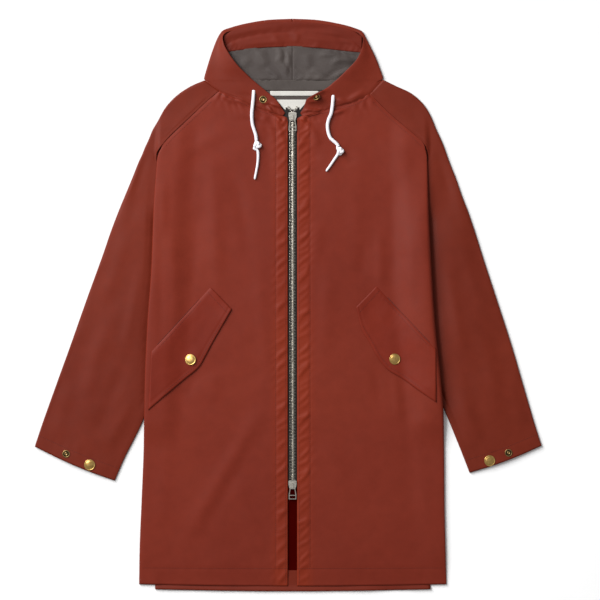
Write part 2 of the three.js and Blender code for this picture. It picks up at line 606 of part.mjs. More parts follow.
// One raglan sleeve: upper wall, outer fold, lower wall, and below the armpit the
// underarm fold with its seam underneath
function sleeve(side) {
  const sign = SIDES[side];
  const rows = SLEEVE_ROWS[side];
  const grid = rows.map((row, index) => {
    const length = Math.hypot(row.outX - row.inX, row.outY - row.inY);
    const bow = index === rows.length - 1 ? CUFF_BOW : 0;
    const onRow = (reach) => {
      const x = mix(row.inX, row.outX, reach / length);
      const y = mix(row.inY, row.outY, reach / length);
      return { x, y: y - bow * Math.sin(Math.PI * clamp(reach / length)) };
    };
    const outerTop = sleeveLevel(sign * row.outX, row.outY);
    const arc = foldArc(length, outerTop, TABLE_LEVEL);
    const path = [];
    const turn = [{ reach: UNDERARM_TURN, z: TABLE_LEVEL }];
    foldArc(0, SLEEVE_TOP_LEVEL, TABLE_LEVEL).reverse().forEach(({ reach, z }) => {
      turn.push({ reach: -reach, z });
    });
    turn.forEach((place, step) => {
      const flatReach = (UNDERARM_TURN * step) / turn.length;
      const spot = onRow(mix(flatReach, place.reach, row.closed));
      const flatZ = sleeveLevel(sign * spot.x, spot.y);
      path.push(new THREE.Vector3(sign * spot.x, spot.y, mix(flatZ, place.z, row.closed)));
    });
    for (let step = 1; step <= UPPER_STEPS; step += 1) {
      const reach = mix(UNDERARM_TURN, arc[0].reach - BEFORE_FOLD, step / UPPER_STEPS);
      const spot = onRow(reach);
      const z = sleeveLevel(sign * spot.x, spot.y);
      path.push(new THREE.Vector3(sign * spot.x, spot.y, z));
    }
    arc.forEach(({ reach, z }) => {
      const spot = onRow(reach);
      path.push(new THREE.Vector3(sign * spot.x, spot.y, z));
    });
    const start = onRow(arc[FOLD_STEPS].reach);
    const seam = onRow(UNDERARM_TURN + SEAM_GAP);
    const endX = row.closed ? seam.x : read(BACK_RAGLAN, 'x', row.endY) + HALF_GAP;
    const endY = row.closed ? seam.y : row.endY;
    for (let step = 1; step <= LOWER_STEPS; step += 1) {
      const x = mix(start.x, endX, step / LOWER_STEPS);
      const y = mix(start.y, endY, step / LOWER_STEPS);
      path.push(new THREE.Vector3(sign * x, y, TABLE_LEVEL));
    }
    return path;
  });
  return sheet(`sleeve_${side}`, RED_CLOTH, grid);
}

// One outer half of the hood: from the face opening round the outer fold to the crown
function hood(side) {
  const sign = SIDES[side];
  const grid = HOOD_ROWS[side].map((row) => {
    const length = Math.hypot(row.rimX - row.outX, row.rimY - row.outY);
    const onRow = (reach) => ({
      x: mix(row.rimX, row.outX, reach / length),
      y: mix(row.rimY, row.outY, reach / length),
    });
    const foldTop = row.fold ? Math.min(HOOD_FOLD_TOP, row.rimZ) : 0;
    const seamZ = frontLevel(sign * row.outX, row.outY);
    const arc = foldArc(length, foldTop, TABLE_LEVEL);
    const edge = row.fold ? arc[0].reach : length * STRIP_EDGE_SHARE;
    const edgeZ = row.fold ? foldTop : mix(row.rimZ, seamZ, STRIP_SEAM_SHARE);
    const path = [];
    for (let step = 0; step < HOOD_SIDE_STEPS; step += 1) {
      const share = step / HOOD_SIDE_STEPS;
      const spot = onRow(edge * share);
      const z = mix(row.rimZ, edgeZ, smooth(0, 1, share));
      path.push(new THREE.Vector3(sign * spot.x, spot.y, z));
    }
    const turned = arc.map(({ reach, z }) => ({ ...onRow(reach), z }));
    const start = turned[FOLD_STEPS];
    for (let step = 1; step <= HOOD_CROWN_STEPS; step += 1) {
      const share = step / HOOD_CROWN_STEPS;
      const x = mix(start.x, row.napeX, share);
      const y = mix(start.y, napeLine(row.napeX) + SEAM_GAP + HALF_GAP, share);
      turned.push({ x, y, z: TABLE_LEVEL });
    }
    turned.forEach((spot, index) => {
      const share = index / (turned.length - 1);
      const flat = onRow(mix(edge, length, share));
      const place = row.fold ? spot : { ...flat, z: mix(edgeZ, seamZ, share) };
      path.push(new THREE.Vector3(sign * place.x, place.y, place.z));
    });
    return path;
  });
  return sheet(`hood_${side}`, RED_CLOTH, grid);
}

// A flat piece inside the coat between two curves across it
function flatPiece(name, material, columns, level, wall = LINING_WALL, rowsAcross = 2) {
  const grid = [];
  for (let step = 0; step <= rowsAcross; step += 1) {
    grid.push(columns.map(({ x, foot, head }) => (
      new THREE.Vector3(x, mix(foot, head, step / rowsAcross), level))));
  }
  return sheet(name, material, grid, wall);
}

const spread = (from, to, steps) => (
  Array.from({ length: steps + 1 }, (_, step) => mix(from, to, step / steps)));

function hoodInside() {
  const facing = FACING_COLUMNS.map(({ x, top, seam }) => (
    { x, head: top, foot: seam + HALF_GAP }));
  const seamAt = (x) => read(FACING_COLUMNS, 'seam', x, 'x') - HALF_GAP;
  const half = (from, to) => spread(from, to, LINING_STEPS).map((x) => (
    { x, foot: LINING_FOOT + HALF_GAP, head: seamAt(x) }));
  const rightHalf = half(-LINING_HALF_WIDTH, -SEAM_GAP / 2);
  const leftHalf = half(SEAM_GAP / 2, LINING_HALF_WIDTH);
  return [
    flatPiece('hood_facing', RED_CLOTH, facing, INSIDE_LEVEL),
    flatPiece('hood_lining_right', GREY_LINING, rightHalf, INSIDE_LEVEL),
    flatPiece('hood_lining_left', GREY_LINING, leftHalf, INSIDE_LEVEL),
  ];
}

function neckInside() {
  const strip = (from, to, foot, head) => (
    spread(from, to, STRIP_STEPS).map((x) => ({ x, foot, head })));
  const band = strip(-BAND_HALF_WIDTH, BAND_HALF_WIDTH, BAND_FOOT + HALF_GAP,
    LINING_FOOT - HALF_GAP);
  const yoke = strip(-YOKE_HALF_WIDTH, YOKE_HALF_WIDTH, YOKE_FOOT, BAND_FOOT - HALF_GAP);
  const tape = strip(TAPE.left, TAPE.right, TAPE.foot, TAPE.head);
  const label = strip(LABEL.left, LABEL.right, LABEL.foot, LABEL.head).map((column) => {
    const narrowing = LABEL.slope * Math.max(0, Math.abs(column.x) - LABEL.narrowFrom);
    return { ...column, foot: column.foot + narrowing };
  });
  return [
    flatPiece('neck_band', GREY_LINING, band, INSIDE_LEVEL),
    flatPiece('yoke_lining', GREY_LINING, yoke, INSIDE_LEVEL, LINING_WALL, 3),
    flatPiece('hanger_tape', WHITE_TAPE, tape, TRIM_LEVEL),
    flatPiece('neck_label', WHITE_TAPE, label, TRIM_LEVEL),
  ];
}

// A pocket flap lies on the front and follows it
function pocketFlap(side) {
  const sign = SIDES[side];
  const lift = WALL + FLAP_GAP;
  const grid = FLAP_ROWS[side].map((row) => spread(0, 1, FLAP_STEPS).map((share) => {
    const y = mix(row.sewnY, row.freeY, share);
    const limit = foldX(side, y) - FLAP_FROM_FOLD;
    const x = Math.min(limit, mix(row.sewnX, row.freeX, share));
    return new THREE.Vector3(sign * x, y, onFront(sign * x, y) + lift);
  }));
  return sheet(`pocket_flap_${side}`, RED_CLOTH, grid);
}

// The low dome of a snap's cap or stud
function snap(name, material, x, y, bottom, radius, height, tilt = 0) {
  const profile = SNAP_PROFILE.map(([across, up]) => (
    new THREE.Vector2(across * radius, up * height)));
  const geometry = new THREE.LatheGeometry(profile, SNAP_SIDES);
  geometry.rotateX(Math.PI / 2);
  const mesh = new THREE.Mesh(geometry, material);
  mesh.name = name;
  mesh.position.set(x, y, bottom);
  mesh.rotation.y = tilt;
  return mesh;
}

// Highest middle point of a wall under a round piece
function highestUnder(level, x, y, radius) {
  const spots = [[0, 0], [1, 0], [-1, 0], [0, 1], [0, -1], [0.7, 0.7], [-0.7, 0.7], [0.7, -0.7],
    [-0.7, -0.7]];
  return Math.max(...spots.map(([dx, dy]) => level(x + dx * radius, y + dy * radius)));
}

function snaps() {
  const onCloth = WALL / 2 + SEAM_GAP;
  const onFlap = WALL + FLAP_GAP + HALF_GAP / 2;
  const places = [
    ['flap_snap_right', BRASS, -183.2, 404.1, onFront, CAP_RADIUS, CAP_HEIGHT, onFlap],
    ['flap_snap_left', BRASS, 183.8, 405, onFront, CAP_RADIUS, CAP_HEIGHT, onFlap],
    ['cuff_cap_right', BRASS, -364.5, 214.9, sleeveLevel, CAP_RADIUS, CAP_HEIGHT, 0],
    ['cuff_cap_left', BRASS, 354.4, 222.3, sleeveLevel, CAP_RADIUS, CAP_HEIGHT, 0],
    ['cuff_stud_right', DARK_BRASS, -406.8, 234.7, sleeveLevel, STUD_RADIUS, STUD_HEIGHT, 0],
    ['cuff_stud_left', DARK_BRASS, 388.4, 236.5, sleeveLevel, STUD_RADIUS, STUD_HEIGHT, 0],
  ];
  return places.map(([name, material, x, y, level, radius, height, layers]) => {
    const seat = highestUnder(level, x, y, radius) + onCloth + layers;
    return snap(name, material, x, y, seat, radius, height);
  });
}

// Snaps at the neck lie on the front strips of the hood
function neckSnaps() {
  const place = (name, { x, y, foot, tilt }) => (
    snap(name, DARK_BRASS, x, y, foot, STUD_RADIUS, STUD_HEIGHT, tilt));
  return [place('neck_stud_right', NECK_STUD), place('neck_cap_left', NECK_CAP)];
}

// Zip tapes run between the layers beside the chain
function zipTape(side) {
  const sign = SIDES[side];
  const grid = TAPE_ROWS.map(({ y, inner, outer }) => (
    spread(inner, outer, 2).map((x) => new THREE.Vector3(sign * x, y, INSIDE_LEVEL))));
  return sheet(`zip_tape_${side}`, BLACK_TAPE, grid, LINING_WALL);
}

// Prism from an outline across the zip, with bevelled upper corners, laid along it
function zipBar(name, material, width, foot, top, from, to) {
  const half = width / 2;
  const bevel = Math.min(BAR_BEVEL, half / 2);
  const shape = new THREE.Shape([
    new THREE.Vector2(-half, foot), new THREE.Vector2(half, foot),
    new THREE.Vector2(half, top - bevel), new THREE.Vector2(half - bevel, top),
    new THREE.Vector2(bevel - half, top), new THREE.Vector2(-half, top - bevel),
  ]);
  const geometry = new THREE.ExtrudeGeometry(shape, { depth: to - from, bevelEnabled: false });
  geometry.rotateX(Math.PI / 2);
  const mesh = new THREE.Mesh(geometry, material);
  mesh.name = name;
  mesh.position.set(0, to, 0);
  return mesh;
}

function asManifold(geometry) {
  const bare = geometry.clone();
  bare.deleteAttribute('normal');
  bare.deleteAttribute('uv');
  const merged = mergeVertices(bare, 1e-4);
  return new wasm.Manifold(new wasm.Mesh({
    numProp: 3,
    vertProperties: Float32Array.from(merged.attributes.position.array),
    triVerts: Uint32Array.from(merged.index.array),
  }));
}

function fromManifold(solid) {
  const { vertProperties, triVerts } = solid.getMesh();
  const geometry = new THREE.BufferGeometry();
  geometry.setAttribute('position', new THREE.BufferAttribute(vertProperties, 3));
  geometry.setIndex(new THREE.BufferAttribute(triVerts, 1));
  geometry.computeVertexNormals();
  return geometry;
}

const outline = (points, base = 0) => (
  points.map(([across, up]) => new THREE.Vector2(across, base + up)));

// A slider: a plate narrowed at one end, with the bridge that holds the pull
function zipSlider(name, foot) {
  const half = SLIDER_WIDTH / 2;
  const rightEdge = [
    [half * SLIDER_NOSE_SHARE, 0],
    [half, SLIDER_LENGTH * SLIDER_SHOULDER_SHARE],
    [half, SLIDER_LENGTH - SLIDER_CORNER.along],
    [half - SLIDER_CORNER.across, SLIDER_LENGTH],
  ];
  const leftEdge = rightEdge.map(([across, along]) => [-across, along]).reverse();
  const plan = new THREE.Shape(outline([...rightEdge, ...leftEdge]));
  const depth = SLIDER_TOP - SLIDER_FOOT;
  const plate = new THREE.ExtrudeGeometry(plan, { depth, bevelEnabled: false });
  plate.translate(0, 0, SLIDER_FOOT);
  const side = new THREE.Shape(outline(BRIDGE_OUTLINE, SLIDER_TOP));
  side.holes.push(new THREE.Path(outline(BRIDGE_HOLE, SLIDER_TOP)));
  const bridge = new THREE.ExtrudeGeometry(side, { depth: BRIDGE_WIDTH, bevelEnabled: false });
  bridge.rotateX(Math.PI / 2);
  bridge.rotateZ(Math.PI / 2);
  bridge.translate(-BRIDGE_WIDTH / 2, 0, 0);
  const solid = asManifold(plate).add(asManifold(bridge));
  const mesh = new THREE.Mesh(fromManifold(solid), NICKEL);
  mesh.name = name;
  mesh.position.set(0, foot, 0);
  return mesh;
}

// A pull: an open frame with a cross bar, hung in the slider's bridge by its upper bar
function zipPull(name, foot, tilt) {
  const neck = PULL_NECK_WIDTH / 2;
  const wide = PULL_WIDTH / 2;
  const crossBar = -PULL_LENGTH * PULL_BAR_SHARE;
  const head = PULL_BAR / 2;
  const end = head - PULL_LENGTH;
  const widest = PULL_LENGTH * PULL_WIDEST_SHARE;
  const widthAt = (y) => mix(neck, wide, clamp((head - y) / widest));
  const frame = new THREE.Shape();
  frame.moveTo(-neck, head);
  frame.lineTo(neck, head);
  frame.lineTo(wide, head - widest);
  frame.lineTo(wide, end);
  frame.lineTo(-wide, end);
  frame.lineTo(-wide, head - widest);
  const window = (top, bottom) => {
    const hole = new THREE.Path();
    hole.moveTo(PULL_BAR - widthAt(top), top);
    hole.lineTo(PULL_BAR - widthAt(bottom), bottom);
    hole.lineTo(widthAt(bottom) - PULL_BAR, bottom);
    hole.lineTo(widthAt(top) - PULL_BAR, top);
    frame.holes.push(hole);
  };
  window(-PULL_BAR / 2, crossBar + PULL_BAR / 2);
  window(crossBar - PULL_BAR / 2, end + PULL_BAR);
  const geometry = new THREE.ExtrudeGeometry(frame, {
    depth: PULL_THICKNESS, bevelEnabled: false,
  });
  geometry.translate(0, 0, -PULL_THICKNESS / 2);
  const mesh = new THREE.Mesh(geometry, NICKEL);
  mesh.name = name;
  mesh.position.set(0, foot + PIVOT_FROM_SLIDER_FOOT, PIVOT_Z);
  mesh.rotation.x = THREE.MathUtils.degToRad(tilt);
  return mesh;
}

function zip() {
  const chainFoot = ZIP_BOTTOM + SLIDER_LENGTH + SEAM_GAP;
  const chainHead = ZIP_TOP_SLIDER - SEAM_GAP;
  const stopFoot = ZIP_TOP_SLIDER + SLIDER_LENGTH + SEAM_GAP;
  const stop = (side) => {
    const bar = zipBar(`zip_stop_${side}`, NICKEL, STOP.width, STOP.foot, STOP.top, stopFoot,
      stopFoot + STOP.length);
    bar.position.x = SIDES[side] * STOP.x;
    return bar;
  };
  return [
    zipTape('right'),
    zipTape('left'),
    zipBar('zip_chain', DARK_CHAIN, CHAIN_WIDTH, SLIDER_FOOT, CHAIN_TOP, chainFoot, chainHead),
    stop('right'),
    stop('left'),
    zipSlider('zip_slider_bottom', ZIP_BOTTOM),
    zipSlider('zip_slider_top', ZIP_TOP_SLIDER),
    zipPull('zip_pull_bottom', ZIP_BOTTOM, BOTTOM_PULL_TILT),
    zipPull('zip_pull_top', ZIP_TOP_SLIDER, TOP_PULL_TILT),
  ];
}

// Height of a cord's middle where it lies on the coat
function cordZ(x, y, diameter) {
  const onStrip = smooth(STRIP_FROM, STRIP_TO, y);
  const cloth = mix(frontLevel(x, y) + WALL / 2, STRIP_TOP, onStrip);
  return cloth + CORD_LIFT + diameter / 2;
}

function cordPiece(name, points, diameter) {
  const route = new THREE.CatmullRomCurve3(
    points.map(([x, y]) => new THREE.Vector3(x, y, cordZ(x, y, diameter))));
  const corners = [];
  for (let side = 0; side < CORD_SIDES; side += 1) {
    const angle = (2 * Math.PI * (side + 0.5)) / CORD_SIDES;
    const [x, y] = [Math.cos(angle) * diameter / 2, Math.sin(angle) * diameter / 2];
    corners.push(new THREE.Vector2(x, y));
  }
  const steps = Math.round(route.getLength() / (2 * CORD_DIAMETER));
  const geometry = new THREE.ExtrudeGeometry(new THREE.Shape(corners), {
    steps, bevelEnabled: false, extrudePath: route,
  });
  const mesh = new THREE.Mesh(geometry, WHITE_CORD);
  mesh.name = name;
  return mesh;
}

// Turns what stands along y into a direction on the coat
const turnOf = ([alongX, alongY]) => Math.atan2(-alongX, alongY);

// A knot: two turns of cord pulled tight, one across the other, round the ends of the cord
function knot(name, { x, y, into, out }) {
  const first = new THREE.TorusGeometry(KNOT_TURN_RADIUS, KNOT_TURN_CORD, 6, 10);
  const second = first.clone();
  first.rotateX(Math.PI / 2);
  first.scale(...KNOT_FIRST_STRETCH);
  second.rotateX(THREE.MathUtils.degToRad(KNOT_SECOND_TILT));
  second.rotateZ(THREE.MathUtils.degToRad(KNOT_SECOND_TWIST));
  second.scale(...KNOT_SECOND_STRETCH);
  const middle = [(into[0] + out[0]) / 2, (into[1] + out[1]) / 2];
  const turns = [first, second].map((turn) => turn.rotateZ(turnOf(middle)));
  const half = KNOT_LENGTH / 2;
  const ends = [[-into[0], -into[1]], out].map((direction) => {
    const length = half + KNOT_OVERLAP;
    const end = new THREE.CylinderGeometry(
      CORD_DIAMETER / 2, CORD_DIAMETER / 2, length, CORD_SIDES);
    end.translate(0, half - length / 2, 0);
    end.rotateZ(turnOf(direction));
    return end.translate(0, 0, -KNOT_LIFT);
  });
  const solid = [...turns, ...ends].map(asManifold).reduce((all, one) => all.add(one));
  const mesh = new THREE.Mesh(fromManifold(solid), WHITE_CORD);
  mesh.name = name;
  mesh.position.set(x, y, cordZ(x, y, CORD_DIAMETER) + KNOT_LIFT);
  return mesh;
}

function drawcord(side) {
  const { upper, knot: place, tail } = CORDS[side];
  const face = KNOT_LENGTH / 2 + SEAM_GAP;
  const lead = face + CORD_LEAD;
  const at = ([alongX, alongY], reach) => [place.x + reach * alongX, place.y + reach * alongY];
  const toKnot = [at(place.into, -lead), at(place.into, -face)];
  const fromKnot = [at(place.out, face), at(place.out, lead)];
  return [
    cordPiece(`drawcord_${side}`, [...upper, ...toKnot], CORD_DIAMETER),
    knot(`cord_knot_${side}`, place),
    cordPiece(`drawcord_${side}_tail`, [...fromKnot, ...tail], CORD_TIP_DIAMETER),
  ];
}

const coat = new THREE.Group();
coat.add(back(), front('right'), front('left'), sleeve('right'), sleeve('left'));
coat.add(hood('right'), hood('left'), ...hoodInside(), ...neckInside());
coat.add(pocketFlap('right'), pocketFlap('left'), ...snaps(), ...neckSnaps());
coat.add(...zip(), ...drawcord('right'), ...drawcord('left'));

const box = new THREE.Box3().setFromObject(coat);
coat.position.set(-(box.min.x + box.max.x) / 2, -(box.min.y + box.max.y) / 2, -box.min.z);

const group = new THREE.Group();
group.add(coat);

export default group;
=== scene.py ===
"""Hooded raincoat, zipped up and laid flat on its back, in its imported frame."""

import math

import bpy
import numpy as np
from mathutils import Matrix, Vector
from mathutils.bvhtree import BVHTree

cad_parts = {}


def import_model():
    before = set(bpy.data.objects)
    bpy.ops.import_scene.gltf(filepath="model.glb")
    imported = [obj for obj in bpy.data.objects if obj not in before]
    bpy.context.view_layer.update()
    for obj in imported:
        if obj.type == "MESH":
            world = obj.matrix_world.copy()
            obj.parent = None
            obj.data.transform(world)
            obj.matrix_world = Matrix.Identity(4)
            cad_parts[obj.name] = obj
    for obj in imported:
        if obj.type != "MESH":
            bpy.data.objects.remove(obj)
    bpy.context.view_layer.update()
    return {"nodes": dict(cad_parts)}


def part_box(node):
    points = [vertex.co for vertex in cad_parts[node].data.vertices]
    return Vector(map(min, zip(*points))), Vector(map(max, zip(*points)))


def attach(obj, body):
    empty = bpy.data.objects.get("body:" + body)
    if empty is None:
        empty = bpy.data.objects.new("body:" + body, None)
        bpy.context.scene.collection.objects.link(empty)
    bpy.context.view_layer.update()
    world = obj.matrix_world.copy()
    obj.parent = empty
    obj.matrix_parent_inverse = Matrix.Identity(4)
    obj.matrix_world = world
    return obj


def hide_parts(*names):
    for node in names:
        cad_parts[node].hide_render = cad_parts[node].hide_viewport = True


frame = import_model()

# Sizes are in millimetres in the coat's own axes: x from the zip towards the wearer's
# left, y from the front hem towards the hood, z up from the table.
MM = 0.001
ZIP_FOOT = 171.5
chain_low, chain_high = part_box("zip_chain")
slider_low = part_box("zip_slider_bottom")[0]
ORIGIN = np.array([(chain_low[0] + chain_high[0]) / 2, slider_low[1] - ZIP_FOOT * MM, 0.0])

WALL = 1.2
LINING_WALL = 1.0
SEAM_GAP = 0.3
TABLE_LEVEL = WALL / 2
SLEEVE_TOP_LEVEL = 3.4
LIFTED_BACK_LEVEL = 5.0
FRONT_ABOVE_BACK = 2.8
INSIDE_LEVEL = 2.0
TRIM_LEVEL = 3.4
FRONT_EDGE = 8.3
ZIP_TOP = 838.0
HEM_SAG = 3.6
BACK_HEM_DROP = 9.0
ARMPIT = 640.0
FOLD_START = 779.0
WEDGE = 303.0
SIDE_WRAP = 28.0
SMALL_WRAP = 6.0
LIFT_RAMP = 42.0
NAPE = 890.3
NAPE_RISE = 16.0
NECK_SIDE = 158.0
HOOD_FOLD_TOP = 5.6
SIDES = {"right": -1, "left": 1}
SIDE_COLUMN = {"right": 1, "left": 2}


def world(points):
    """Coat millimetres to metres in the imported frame."""
    return np.asarray(points, float) * MM + ORIGIN


# Camera
IMAGE_CENTRE = (13.5, 511.2)
IMAGE_WIDTH = 1080.0
LENS = 135.0
SENSOR = 36.0

camera_data = bpy.data.cameras.new("camera")
camera_data.lens = LENS
camera_data.sensor_width = SENSOR
camera_data.clip_end = 50
camera = bpy.data.objects.new("camera", camera_data)
bpy.context.scene.collection.objects.link(camera)
camera.location = world([*IMAGE_CENTRE, IMAGE_WIDTH * LENS / SENSOR])
bpy.context.scene.camera = camera


# Curves through tables
def smooth(low, high, value):
    share = np.clip((np.asarray(value, float) - low) / (high - low), 0, 1)
    return share * share * (3 - 2 * share)


def mix(low, high, share):
    return low + (high - low) * share


def through(places, values, at):
    """A smooth curve through a table that never swings past its values."""
    places, values = np.asarray(places, float), np.asarray(values, float)
    at = np.clip(at, places[0], places[-1])
    step = np.diff(places)
    rise = np.diff(values) / step
    slope = np.zeros_like(values)
    same = rise[1:] * rise[:-1] > 0
    mean = 2 * rise[1:] * rise[:-1] / np.where(same, rise[1:] + rise[:-1], 1)
    slope[1:-1] = np.where(same, mean, 0)
    slope[0], slope[-1] = rise[0], rise[-1]
    k = np.clip(np.searchsorted(places, at) - 1, 0, len(step) - 1)
    t = (at - places[k]) / step[k]
    return (
        values[k] * (1 + 2 * t) * (1 - t) ** 2
        + slope[k] * step[k] * t * (1 - t) ** 2
        + values[k + 1] * t * t * (3 - 2 * t)
        + slope[k + 1] * step[k] * t * t * (t - 1)
    )


def column(table, index):
    return np.array([row[index] for row in table], float)


# Tables: height, then the distance from the zip on the right side and on the left side
SIDE_FOLD = [
    (0, 275.4, 276.5), (60, 274.5, 275), (150, 270.9, 273), (240, 267.3, 272.3),
    (305, 266, 270.9), (370, 264.8, 265.6), (470, 260.3, 255.6), (565, 253.4, 249.3),
    (690, 248.4, 243.5), (779, 241.6, 241.2), (840, 238.5, 238.8), (863, 237.5, 236),
]
RAGLAN_SEAM = [
    (779, 239, 241), (793, 231, 234.5), (807, 219, 220.5), (829, 196, 194.6),
    (851.5, 172, 169.2), (870.5, 151.7, 150.4), (888, 131.5, 134),
]
BACK_RAGLAN = [(640, 223), (898, 110)]
NECK_SEAM = {
    "right": [
        (8.5, 838.5), (16.5, 842.6), (27, 845), (44, 851.5), (64.8, 858.6), (95, 872.1),
        (131.5, 887.5), (158.4, 906.5),
    ],
    "left": [
        (8.5, 838.5), (17, 842.4), (31, 846), (50, 851.5), (72, 857), (114.3, 869),
        (138.5, 882.2), (162.5, 908),
    ],
}
# Sleeve: inner end x and y, outer fold x and y, where the lower wall ends, 1 for a tube
SLEEVE_ROWS = {
    "right": [
        (132.2, 887.2, 158.4, 905.6, 897, 0), (152.3, 870.5, 178, 897.6, 882, 0),
        (172.6, 851.5, 206, 880, 852, 0), (196.6, 829, 228, 857, 830, 0),
        (219.6, 807, 241.6, 833, 809, 0), (231.7, 793, 251, 817, 796, 0),
        (239.5, 783, 258.5, 799, 785, 0), (244.4, 773, 265, 785, 774, 0),
        (244.6, 764, 270, 772.5, 762, 0), (239, 750, 276, 759.5, 747, 0),
        (233.5, 720, 289, 727, 718, 0), (227, 680, 299, 703, 678, 0),
        (226.5, 638, 313, 669, 0, 1), (226, 600, 327, 632, 0, 1), (221, 560, 340, 594, 0, 1),
        (225, 470, 369, 514, 0, 1), (243, 380, 399, 429, 0, 1), (266, 303, 425, 357, 0, 1),
        (304, 224, 451, 284, 0, 1), (320.2, 186.5, 463.1, 247.5, 0, 1),
    ],
    "left": [
        (139.4, 881.8, 162.5, 907, 897, 0), (151, 870.5, 185, 896, 882, 0),
        (169.8, 851.5, 214, 882, 852, 0), (195.3, 829, 238.5, 858.5, 830, 0),
        (221.2, 807, 250.5, 836.5, 809, 0), (235.2, 793, 257.5, 819, 796, 0),
        (240.6, 785, 265, 803, 785, 0), (244.2, 773, 271.5, 788, 774, 0),
        (244.4, 764, 276, 775, 762, 0), (237, 750, 281, 761, 747, 0),
        (229.5, 720, 294.3, 727, 718, 0), (222.5, 680, 304, 699, 678, 0),
        (222, 638, 315.6, 669, 0, 1), (221.6, 600, 328.5, 631, 0, 1),
        (216, 560, 341, 591, 0, 1), (222, 470, 367.5, 510, 0, 1), (243, 385, 394, 428, 0, 1),
        (271, 320, 414.5, 358, 0, 1), (304.5, 238, 435.5, 286.5, 0, 1),
        (319, 200.7, 447.7, 249.1, 0, 1),
    ],
}
CUFF_BOW = 3.5
# Hood: rim x and y, outer fold or neck seam x and y, nape x, height of the rim, 1 for a fold
HOOD_ROWS = {
    "right": [
        (13.2, 847.4, 16.5, 842.85, 0, 3.9, 0), (20, 857, 27, 845.25, 0, 5, 0),
        (28.8, 870.5, 44, 851.75, 0, 6, 0), (40, 880.7, 64.8, 858.85, 0, 6.2, 0),
        (53, 891.4, 95, 872.35, 0, 7, 0), (63, 899.5, 131.2, 887.9, 0, 7.6, 0),
        (68.5, 904.2, 152.6, 903, 0, 8, 0), (72, 907, 158.6, 908.4, 156.4, 8.2, 1),
        (83, 917.5, 156.5, 918, 147, 8.8, 1), (94.5, 928.4, 153.4, 928.4, 136, 9.2, 1),
        (112, 950.4, 147, 949, 118, 9, 1), (122.9, 970.2, 139.5, 970, 100, 8, 1),
        (125.5, 982, 132.6, 985.5, 84, 6.4, 1), (121.6, 990.4, 125, 995.5, 68, 4.8, 1),
        (108.8, 995.8, 110.7, 1001, 52, 3.6, 1), (82.7, 1002.6, 83.7, 1008.1, 34, 3.4, 1),
        (38.5, 1009.4, 38.7, 1015, 16, 3.4, 1), (0.15, 1011.1, 0.15, 1016.6, 0.15, 3.4, 1),
    ],
    "left": [
        (14, 847.4, 17, 842.65, 0, 3.9, 0), (20.5, 857.9, 31, 846.25, 0, 5, 0),
        (24.8, 870.5, 50, 851.75, 0, 6, 0), (39.4, 880.7, 72, 857.25, 0, 7, 0),
        (56, 888.6, 114.3, 869.3, 0, 7, 0), (66, 895.5, 138.3, 882.5, 0, 7.6, 0),
        (75, 903.5, 156.3, 901.9, 0, 8, 0), (80, 907.5, 162.6, 909.8, 157.6, 8.2, 1),
        (88, 915, 160, 918.5, 147, 8.8, 1), (95.2, 922, 156.5, 928, 136, 9.2, 1),
        (117, 945.9, 149, 947, 118, 9, 1), (125.4, 966.5, 139, 968, 100, 8, 1),
        (127.2, 980, 131.6, 982.5, 84, 6.4, 1), (121, 989.4, 125.4, 993.5, 68, 4.8, 1),
        (107.2, 995.8, 108.9, 1001, 52, 3.6, 1), (81, 1002.6, 81.9, 1008.1, 34, 3.4, 1),
        (36.7, 1009.4, 36.9, 1015.1, 16, 3.4, 1), (0.15, 1011.1, 0.15, 1016.6, 0.15, 3.4, 1),
    ],
}
# Inside of the hood: x, top of the facing, seam between facing and lining
FACING_COLUMNS = [
    (-124, 984, 958), (-108, 994.5, 959.6), (-83, 1001.6, 963), (-42, 1008.6, 966.6),
    (0, 1010.8, 967.6), (42, 1008.6, 965.6), (81, 1001.6, 961.6), (108, 994.5, 958.6),
    (125, 983, 957),
]
# Pocket flaps: sewn edge x and y, free edge x and y, from the front to the side
FLAP_ROWS = {
    "right": [
        (148, 535, 109.4, 495), (169, 512, 126, 465.6), (190, 489, 142.6, 436.5),
        (207, 470.5, 156.4, 410.8), (220, 456.3, 167.4, 391.5), (231, 444.3, 195.8, 367.2),
        (242, 432.3, 227, 341), (253.4, 419.8, 258.8, 313.4),
    ],
    "left": [
        (151.9, 536.8, 114.6, 499), (172, 515, 124.4, 459), (192, 493.5, 139.9, 432.5),
        (208, 476.5, 153.5, 406.8), (221, 462.5, 170.8, 386.1), (233, 449.5, 196, 370.8),
        (245, 436.8, 226, 349), (256.6, 424.5, 258, 327.5),
    ],
}


# Heights of the layers
def fold_x(side, y):
    return through(column(SIDE_FOLD, 0), column(SIDE_FOLD, SIDE_COLUMN[side]), y)


def raglan_x(side, y):
    return through(column(RAGLAN_SEAM, 0), column(RAGLAN_SEAM, SIDE_COLUMN[side]), y)


def wrap_width(y):
    return mix(SIDE_WRAP, SMALL_WRAP, smooth(ARMPIT, FOLD_START - 9, y))


def tuck_x(side, y):
    rows = [row for row in SLEEVE_ROWS[side] if row[1] < FOLD_START - 10][::-1]
    return through(column(rows, 1), column(rows, 0), y)


def by_side(function, x, y):
    return np.where(np.asarray(x) < 0, function("right", y), function("left", y))


def back_level(x, y):
    x, y = np.asarray(x, float), np.asarray(y, float)
    edge = np.minimum(by_side(tuck_x, x, y), by_side(fold_x, x, y) - SIDE_WRAP)
    across = smooth(edge - LIFT_RAMP, edge - 5, np.abs(x))
    above = 1 - smooth(FOLD_START + 2, FOLD_START + 75, y)
    below = smooth(WEDGE - 62, WEDGE - 6, y)
    return mix(TABLE_LEVEL, LIFTED_BACK_LEVEL, across * above * below)


def back_panel_level(x, y):
    lifted = 1 - smooth(ARMPIT - 45, ARMPIT - 8, y)
    return mix(TABLE_LEVEL, back_level(x, y), lifted)


def front_level(x, y):
    return back_level(x, y) + FRONT_ABOVE_BACK


